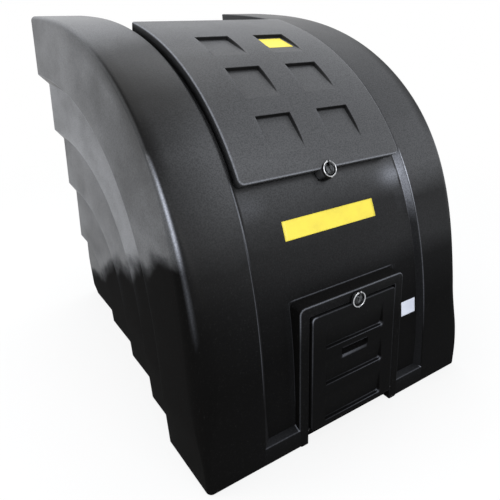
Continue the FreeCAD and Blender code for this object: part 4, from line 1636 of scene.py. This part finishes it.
# ---- door -----------------------------------------------------------------------
@dataclass
class Door:
    """Drop-down door with three wedge pockets, a finger pull and a round hem."""

    half: float = 123.5
    top: float = 319.0
    front: float = -5.0
    back: float = 15.0
    hem_y: float = 3.0
    hem_z: float = 36.0
    hem_radius: float = 8.0
    pocket_half: float = 84.0
    pocket_floors: tuple = (46.0, 139.5, 233.0)
    pocket_height: float = 62.0
    pocket_depth: float = 8.0
    pocket_slope: float = 1.2
    pull_half: float = 39.0
    pull_low: float = 193.0
    pull_high: float = 215.0
    pull_depth: float = 13.0
    pull_slope: float = 0.8
    pull_round: float = 12.0
    lip_round: float = 7.0
    tab_radius: float = 13.0
    tab_z: float = 329.0
    neck_z: float = 303.0
    bend_from: float = 90.0
    edge: float = 3.0
    corner: float = 9.0

    def depth(self, x: np.ndarray, z: np.ndarray) -> np.ndarray:
        """How far the face sinks at places across and up the door.

        A pocket sinks evenly from nothing at its top to its full depth above its ledge, and
        its sides and ledge fade over a short slope. The finger pull is a slot whose lower lip
        is a quarter circle.

        Args:
            x: Places across it.
            z: Heights on it.

        Returns:
            The sink at each place.
        """
        sink = np.zeros(np.broadcast(x, z).shape)
        for floor in self.pocket_floors:
            up = z - floor
            wedge = self.pocket_depth * np.clip(1.0 - up / self.pocket_height, 0.0, 1.0)
            walls = rise(up, -1.6, 2.4) * fall(np.abs(x), self.pocket_half - self.pocket_slope,
                                               2.0 * self.pocket_slope)
            sink = np.maximum(sink, np.where(up > -2.0, wedge * walls, 0.0))
        lip = np.clip(z - self.pull_low, 0.0, self.lip_round)
        bowl = self.lip_round - np.sqrt(np.maximum(self.lip_round ** 2 - lip ** 2, 0.0))
        bowl = bowl + (self.pull_depth - self.lip_round) * rise(z, self.pull_low + self.lip_round, 4.0)
        inside = fall(z, self.pull_high - 0.6, 1.2) * rise(z, self.pull_low, 0.6)
        round_end = np.clip((z - self.pull_low) / self.pull_round, 0.0, 1.0)
        drawn = self.pull_round * (1.0 - np.sqrt(np.maximum(1.0 - (1.0 - round_end) ** 2, 0.0)))
        inside = inside * fall(np.abs(x) + drawn, self.pull_half - self.pull_slope, 2.0 * self.pull_slope)
        return np.maximum(sink, bowl * inside)

    def face_tones(self, x: np.ndarray, z: np.ndarray) -> np.ndarray:
        """Painted light on the face: two thin painted highlights on each pocket ledge, painted shade between
        them, and a bright right end, a soft painted highlight on the lower lip of the finger pull, a thin
        one over it, and painted shade deep in the pull.

        Args:
            x: Places across it.
            z: Heights on it.

        Returns:
            The tone at each place.
        """
        tone = np.zeros_like(x)
        within = fall(np.abs(x), self.pocket_half - 2.0, 3.0)
        for floor in self.pocket_floors:
            edges = bell(z, floor - 1.9, 0.5) + 0.6 * bell(z, floor + 0.9, 0.6)
            line = edges * within * (0.10 + 0.06 * x / self.pocket_half)
            end = bell(x, self.pocket_half - 2.0, 2.6) * bell(z, floor, 2.2)
            tone = np.maximum.reduce([tone, line, 0.32 * end])
            # painted shade on the ledge between its two highlights
            dark = (within > 0.5) & (np.abs(z - floor) < 1.0) & (line < 0.02)
            tone = np.where(dark, -0.7, tone)
        inside = fall(np.abs(x), self.pull_half - 5.0, 6.0)
        sink = self.depth(x, z)
        lip = bell(sink, 0.8, 1.0) * (np.abs(z - self.pull_low - 3.0) < 7.0) * inside
        over = bell(z, self.pull_high + 0.8, 0.6) * inside
        pull = np.maximum(0.085 * lip * (1.0 - 0.5 * x / self.pull_half), 0.08 * over)
        # painted shade deep in the finger pull
        deep = (inside > 0.5) & (sink > 2.6) & (z > self.pull_low) & (z < self.pull_high)
        return np.where(deep, -0.8, np.maximum(tone, pull))

    def lines(self) -> tuple:
        """Grid lines across and up the door, with extra ones at every wall of the pockets and the pull.

        Returns:
            The lines across and the lines up.
        """
        turn = np.linspace(0.0, math.pi / 2.0, 7)
        tab = self.tab_radius - self.edge
        across = [0.0, tab + 0.4, self.half - self.edge] + list(tab * np.cos(turn))
        walls = [(self.pocket_half, self.pocket_slope), (self.pull_half, self.pull_slope)]
        walls += [(self.pull_half - back, 1.5) for back in (3.5, 8.0, 12.5)]
        for wall, slope in walls:
            across += [wall + share * slope for share in (-1.0, -0.4, 0.4, 1.0)]
        right = merged_lines(np.linspace(0.0, self.half - self.edge, 26), across, 1.0)
        up = [self.hem_z, self.top - self.edge]
        up += [self.pull_high + step for step in (-0.6, 0.0, 0.8, 1.8)]
        up += [self.pull_low + step for step in (-0.6, 0.0, 0.5, 1.5, 3.0, 4.5, 6.0, 7.0, 9.0, 11.0)]
        for floor in self.pocket_floors:
            up += [floor + step for step in (-3.0, -1.9, -1.0, -0.3, 0.3, 0.9, 2.0, self.pocket_height)]
        bend = np.linspace(0.0, math.pi / 2.0, 6)
        up += list(self.top - self.corner + (self.corner - self.edge) * np.sin(bend))
        return mirrored(right), merged_lines(np.linspace(self.hem_z, self.top - self.edge, 60), up, 0.9)

    def face(self) -> tuple:
        """Places of the face's grid: drawn in at the round upper corners, and up to the lock's tab.

        Returns:
            X and Z of every point.
        """
        across, height = self.lines()
        inner = self.corner - self.edge
        into = np.clip(height - self.top + self.corner, 0.0, inner)
        drawn = inner - np.sqrt(inner ** 2 - into ** 2)
        flat = self.half - self.edge
        fade = np.clip((np.abs(across) - self.bend_from) / (flat - self.bend_from), 0.0, 1.0)
        x = across[None, :] - np.sign(across)[None, :] * fade[None, :] * drawn[:, None]
        level = np.repeat(height[:, None], len(across), axis=1)
        tab = self.tab_radius - self.edge
        crown = self.top - self.edge
        lobe = self.tab_z + np.sqrt(np.maximum(tab ** 2 - x ** 2, 0.0))
        top = np.where(np.abs(x) <= tab + 1e-6, lobe, crown)
        share = np.clip((level - self.neck_z) / (crown - self.neck_z), 0.0, 1.0)
        return x, np.where(level > self.neck_z, self.neck_z + share * (top - self.neck_z), level)

    def build_panel(self) -> bpy.types.Object:
        """Face with its border, carried round the edges and closed by a flat back.

        Returns:
            The piece.
        """
        x, z = self.face()
        points = np.stack([x, FRONT + self.front + self.depth(x, z), z], axis=-1)
        rows, cols = x.shape
        border = points.reshape(-1, 3)[border_loop(rows, cols)]
        flat = loop_outward(border[:, [0, 2]])
        out = np.stack([flat[:, 0], np.zeros(len(flat)), flat[:, 1]], axis=1)
        inward = np.array([0.0, 1.0, 0.0])
        # painted highlight along the rounded border, weaker towards the foot and strongest at the upper left
        # corner
        wear_and_highlight = 0.25 + 0.75 * rise(border[:, 2], 90.0, 160.0)
        corner = bell(border[:, 0], 5.0 - self.half, 6.0) * bell(border[:, 2], self.top - 5.0, 7.0)
        rings = [points.reshape(-1, 3)]
        tones = [self.face_tones(x, z).ravel()]
        for step in np.linspace(0.0, math.pi / 2.0, 5)[1:]:
            rings.append(border + self.edge * (np.sin(step) * out + (1.0 - np.cos(step)) * inward))
            tones.append((0.065 * wear_and_highlight + 0.30 * corner) * math.sin(2.0 * step) ** 2)
        for step in np.linspace(0.0, math.pi / 2.0, 4):
            depth = self.back - self.front - self.edge * (1.0 - np.sin(step))
            rings.append(border + self.edge * np.cos(step) * out + depth * inward)
            tones.append(np.zeros(len(border)))
        quads, last = ringed_quads(rows, cols, len(rings) - 1)
        return make_piece("door_panel", np.vstack(rings), quads, [last], 32.0, True, np.concatenate(tones))

    def build_hem(self) -> bpy.types.Object:
        """Round hem at the foot: a circle carried along X, with soft ends.

        Returns:
            The piece.
        """
        half, radius = self.half, self.hem_radius
        ends = rounded_path([(0.0, -half), (radius, -half), (radius, half), (0.0, half)], [1.5, 1.5], 3)
        y, z, x = spun(densified(ends, 30.0), 32)
        points = np.stack([x, FRONT + self.hem_y + y, self.hem_z + z], axis=-1)
        return make_piece("door_hem", points, grid_quads(*x.shape), (), 35.0, True)

    def build(self, dresser: Dresser) -> list:
        """Build and dress the panel and its hem."""
        pieces = [self.build_panel(), self.build_hem()]
        return dresser.dress_all(pieces, Finish.PLASTIC, Body.DOOR)


# ---- locks ----------------------------------------------------------------------
@dataclass
class LockRing:
    """Forged ring of a cam lock with its two knuckles and a small tip."""

    name: str
    matrix: np.ndarray
    lean: float
    radius: float = 17.0
    wire: float = 1.55
    plane: float = 8.4
    opening: float = 14.0
    knuckle: float = 2.4
    knuckle_bore: float = 1.05
    knuckle_ends: tuple = (2.2, 5.6)

    def leaned(self, points: np.ndarray) -> np.ndarray:
        """Points turned about the ring's pin by its lean, then carried to the lock's place.

        Args:
            points: Points in the lock's own frame.

        Returns:
            The points in their places.
        """
        turn = math.radians(self.lean)
        y = points[..., 1] - self.radius
        z = points[..., 2] - self.plane
        moved = points.copy()
        moved[..., 1] = self.radius + y * math.cos(turn) - z * math.sin(turn)
        moved[..., 2] = self.plane + y * math.sin(turn) + z * math.cos(turn)
        return carried(moved, self.matrix)

    def build_wire(self) -> bpy.types.Object:
        """Wire: a circle carried round the ring, thicker at the knuckles and drawn to a tip at the foot.

        Returns:
            The piece.
        """
        half = math.radians(self.opening)
        steps, sides = 96, 18
        around = np.linspace(math.pi / 2.0 + half, math.pi * 2.5 - half, steps + 1)[:, None]
        section = np.linspace(0.0, 2.0 * math.pi, sides + 1)[None, :]
        to_foot = bell(around, 1.5 * math.pi, 0.11)
        to_top = bell(np.minimum(around - around[0], around[-1] - around), 0.0, 0.22)
        thick = self.wire * (1.0 + 0.22 * to_top + 0.15 * to_foot)
        reach = self.radius + thick * np.cos(section) + 1.5 * to_foot * (0.5 + 0.5 * np.cos(section))
        points = np.stack([reach * np.cos(around), reach * np.sin(around),
                           self.plane + thick * np.sin(section)], axis=-1)
        last = steps * (sides + 1)
        ends = [list(range(sides)), list(range(last, last + sides))]
        return make_piece(self.name + "_wire", self.leaned(points), grid_quads(steps + 1, sides + 1), ends,
                          40.0, True)

    def build_knuckle(self, side: int) -> bpy.types.Object:
        """One rolled knuckle: a soft-ended barrel along the pin.

        Args:
            side: 1 for the right one, -1 for the left one.

        Returns:
            The piece.
        """
        near_end, far_end = self.knuckle_ends
        profile = rounded_path([(self.knuckle_bore, near_end), (self.knuckle, near_end),
                                (self.knuckle, far_end), (self.knuckle_bore, far_end)], [0.6, 0.6], 3)
        y, z, x = spun(np.vstack([profile, profile[:1]]), 24)
        points = self.leaned(np.stack([side * x, self.radius + y, self.plane + z], axis=-1))
        label = "_right_knuckle" if side > 0 else "_left_knuckle"
        return make_piece(self.name + label, points, grid_quads(*x.shape), (), 40.0, True)

    def build(self, dresser: Dresser, body: Body) -> list:
        """Build and dress the wire and both knuckles."""
        pieces = [self.build_wire(), self.build_knuckle(1), self.build_knuckle(-1)]
        return dresser.dress_all(pieces, Finish.CHROME, body)


# ---- labels ---------------------------------------------------------------------
@dataclass
class Labels:
    """Two bare yellow labels and a bare white sticker."""

    film: float = 0.35
    sheet: float = 0.25
    big_left: float = -138.0
    big_right: float = 124.0
    big_low: float = 472.5
    big_high: float = 512.5
    white_left: float = 178.0
    white_right: float = 226.0
    white_low: float = 206.0
    white_high: float = 244.0
    small_left: float = 47.0
    small_right: float = 122.0
    small_top: float = -26.0
    small_low: float = -88.0

    def panel_sheet(self, name: str, x0: float, x1: float, z0: float, z1: float) -> bpy.types.Object:
        """Sheet that lies on the recessed panel between two widths and two heights.

        Args:
            name: Name of the piece.
            x0: Left edge.
            x1: Right edge.
            z0: Lower edge.
            z1: Upper edge.

        Returns:
            The piece.
        """
        lift = BunkerShell.panel_lift + self.film
        low = PROFILE.angle_at_height(z0, lift)
        high = PROFILE.angle_at_height(z1, lift)
        angle = np.linspace(low, high, 14)[:, None]
        x = np.linspace(x0, x1, 30)[None, :]
        y, z = PROFILE.lifted(angle, lift)
        points = np.stack([x + 0.0 * y, y + 0.0 * x, z + 0.0 * x], axis=-1)
        piece = make_piece(name, points, grid_quads(14, 30))
        thicken(piece, self.sheet)
        return piece

    def lid_sheet(self, name: str, lid: Lid) -> bpy.types.Object:
        """Sheet that lies on the floor of the lid's upper right pad.

        Args:
            name: Name of the piece.
            lid: The lid.

        Returns:
            The piece.
        """
        ends = [PROFILE.angle_at_depth(y, lid.lift) for y in (self.small_low, self.small_top)]
        along = np.linspace(*[float(lid.ruler.length(a)) for a in ends], 20)[:, None]
        x = np.linspace(self.small_left, self.small_right, 20)[None, :]
        points, _ = lid.place(x + 0.0 * along, along + 0.0 * x, self.film)
        piece = make_piece(name, points, grid_quads(20, 20))
        thicken(piece, self.sheet)
        return piece

    def build(self, dresser: Dresser, lid: Lid) -> None:
        """Build and dress the labels.

        Args:
            dresser: Gives the finishes.
            lid: The lid.
        """
        big = self.panel_sheet("front_label", self.big_left, self.big_right, self.big_low, self.big_high)
        dresser.dress(big, Finish.YELLOW, Body.BUNKER)
        white = self.panel_sheet("white_sticker", self.white_left, self.white_right, self.white_low,
                                 self.white_high)
        dresser.dress(white, Finish.WHITE, Body.BUNKER)
        dresser.dress(self.lid_sheet("lid_label", lid), Finish.YELLOW, Body.LID)


# ---- studio ---------------------------------------------------------------------
@dataclass
class Studio:
    """Pale floor, soft light and the camera."""

    azimuth: float = 36.60
    elevation: float = 16.53
    roll: float = 0.22
    place: tuple = (-778.5, -1331.1, 962.5)
    focal: float = 568.5
    frame_width: float = 500.0
    centre: tuple = (300.0, 170.0)

    def camera(self) -> None:
        """Camera at the viewing angle, shifted so that its axis meets the image at its centre point."""
        az, el, roll = (math.radians(a) for a in (self.azimuth, self.elevation, self.roll))
        ahead = Vector((math.sin(az) * math.cos(el), math.cos(az) * math.cos(el), -math.sin(el)))
        right = Vector((math.cos(az), -math.sin(az), 0.0))
        up = right.cross(ahead)
        right2 = right * math.cos(roll) + up * math.sin(roll)
        up2 = up * math.cos(roll) - right * math.sin(roll)
        data = bpy.data.cameras.new("camera")
        data.sensor_width = 36.0
        data.sensor_fit = "HORIZONTAL"
        data.lens = self.focal * 36.0 / self.frame_width
        data.shift_x = (0.5 * self.frame_width - self.centre[0]) / self.frame_width
        data.shift_y = (self.centre[1] - 0.5 * self.frame_width) / self.frame_width
        data.clip_end = 50.0
        camera = bpy.data.objects.new("camera", data)
        rotation = Matrix((right2, up2, -ahead)).transposed().to_4x4()
        camera.matrix_world = Matrix.Translation(Vector(self.place) * MM) @ rotation
        bpy.context.scene.collection.objects.link(camera)
        bpy.context.scene.camera = camera

    def lamp(self, name: str, place: tuple, target: tuple, size: tuple, power: float) -> None:
        """Soft lamp that looks at a target, all in metres.

        Args:
            name: Name of the lamp.
            place: Where it stands.
            target: What it looks at.
            size: Its width and height.
            power: Its power in watts.
        """
        data = bpy.data.lights.new(name, "AREA")
        data.shape = "RECTANGLE"
        data.size, data.size_y = size
        data.energy = power
        lamp = bpy.data.objects.new(name, data)
        aim = (Vector(target) - Vector(place)).to_track_quat("-Z", "Y")
        lamp.matrix_world = Matrix.Translation(Vector(place)) @ aim.to_matrix().to_4x4()
        bpy.context.scene.collection.objects.link(lamp)

    def floor(self) -> None:
        """Large pale floor that looks white and keeps the shadow."""
        mesh = bpy.data.meshes.new("floor")
        reach = 14.0
        corners = [(-reach, -reach, 0.0), (reach, -reach, 0.0), (reach, reach, 0.0), (-reach, reach, 0.0)]
        mesh.from_pydata(corners, [], [(0, 1, 2, 3)])
        floor = bpy.data.objects.new("floor", mesh)
        bpy.context.scene.collection.objects.link(floor)
        book = NodeBook("pale_floor")
        book.shader.inputs["Base Color"].default_value = rgb(0.86, 0.86, 0.86)
        book.shader.inputs["Roughness"].default_value = 0.9
        book.shader.inputs["Specular IOR Level"].default_value = 0.1
        white = book.add("ShaderNodeEmission")
        white.inputs["Strength"].default_value = 1.0
        rays = book.add("ShaderNodeLightPath")
        through = book.math("MAXIMUM", rays.outputs["Is Glossy Ray"], rays.outputs["Is Transmission Ray"])
        seen = book.math("MAXIMUM", rays.outputs["Is Camera Ray"], through)
        away = book.add("ShaderNodeVectorMath", operation="LENGTH")
        book.feed(away.inputs[0], book.coordinates)
        share = book.math("MULTIPLY", seen, book.ramp(away.outputs["Value"], 0.8, 2.6, 0.84, 1.0))
        blend = book.add("ShaderNodeMixShader")
        book.feed(blend.inputs[0], share)
        book.feed(blend.inputs[1], book.shader.outputs[0])
        book.feed(blend.inputs[2], white.outputs[0])
        book.feed(book.tree.nodes["Material Output"].inputs["Surface"], blend.outputs[0])
        mesh.materials.append(book.material)

    def sky(self) -> None:
        """World: white where the camera or a reflection sees it, softer as light."""
        world = bpy.data.worlds.new("studio")
        bpy.context.scene.world = world
        world.use_nodes = True
        tree = world.node_tree
        light = tree.nodes["Background"]
        light.inputs["Color"].default_value = rgb(0.93, 0.96, 1.0)
        light.inputs["Strength"].default_value = 0.62
        white = tree.nodes.new("ShaderNodeBackground")
        white.inputs["Color"].default_value = rgb(1.0, 1.0, 1.0)
        rays = tree.nodes.new("ShaderNodeLightPath")
        seen = tree.nodes.new("ShaderNodeMath")
        seen.operation = "MAXIMUM"
        tree.links.new(rays.outputs["Is Camera Ray"], seen.inputs[0])
        tree.links.new(rays.outputs["Is Glossy Ray"], seen.inputs[1])
        blend = tree.nodes.new("ShaderNodeMixShader")
        tree.links.new(seen.outputs[0], blend.inputs[0])
        tree.links.new(light.outputs[0], blend.inputs[1])
        tree.links.new(white.outputs[0], blend.inputs[2])
        tree.links.new(blend.outputs[0], tree.nodes["World Output"].inputs["Surface"])

    def build(self) -> None:
        """Set up the whole studio."""
        bpy.context.scene.view_settings.view_transform = "Standard"
        self.camera()
        self.floor()
        self.sky()
        self.lamp("overhead", (0.0, 0.6, 3.2), (0.0, 0.0, 0.5), (2.6, 2.0), 60.0)
        self.lamp("left_back", (-2.6, 1.2, 2.0), (-0.3, 0.0, 0.6), (1.6, 1.6), 30.0)
        self.lamp("front", (-0.4, -3.0, 1.7), (0.0, 0.0, 0.4), (2.4, 1.6), 52.0)


# ---- assembly -------------------------------------------------------------------
def door_lock_frame() -> np.ndarray:
    """Place of the lock in the door."""
    return lock_frame(Vector((0.0, FRONT + Door.front, Door.tab_z)), Vector((0.0, -1.0, 0.0)))


def main() -> None:
    """Build the studio and every sub-assembly, and give each its finish."""
    logging.basicConfig(level=logging.INFO, format="%(name)s %(message)s")
    Studio().build()
    dresser = Dresser()
    shell = BunkerShell().build(dresser)
    DoorPorch().build(dresser)
    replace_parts(shell[0], "body")
    lid = Lid()
    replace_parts(lid.build(dresser)[0], "lid")
    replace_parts(Door().build(dresser)[0], "door")
    lid_ring = LockRing("lid_ring", lid.tab_frame(lid.tab_rise), lid.ring_lean).build(dresser, Body.LID_RING)
    door_ring = LockRing("door_ring", door_lock_frame(), 0.0).build(dresser, Body.DOOR_RING)
    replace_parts(lid_ring[0], "lid_lock_ring")
    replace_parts(door_ring[0], "door_lock_ring")
    Labels().build(dresser, lid)
    locks = ("lid_lock_", "door_lock_")
    dresser.dress_nodes([lock + part for lock in locks for part in ("housing", "rotor")], Finish.DARK_CHROME)
    dresser.dress_nodes([lock + "ring_pin" for lock in locks], Finish.CHROME)
    dresser.dress_nodes([lock + part for lock in locks for part in ("nut", "cam", "cam_screw")], Finish.ZINC)
    dresser.dress_nodes(["hinge_body_leaves", "hinge_lid_leaves", "hinge_pins", "hinge_body_rivets",
                         "hinge_lid_rivets"], Finish.STEEL)
    dresser.dress_nodes(["door_pivot_pins"], Finish.BLACK_STEEL)


if __name__ == "__main__":
    main()
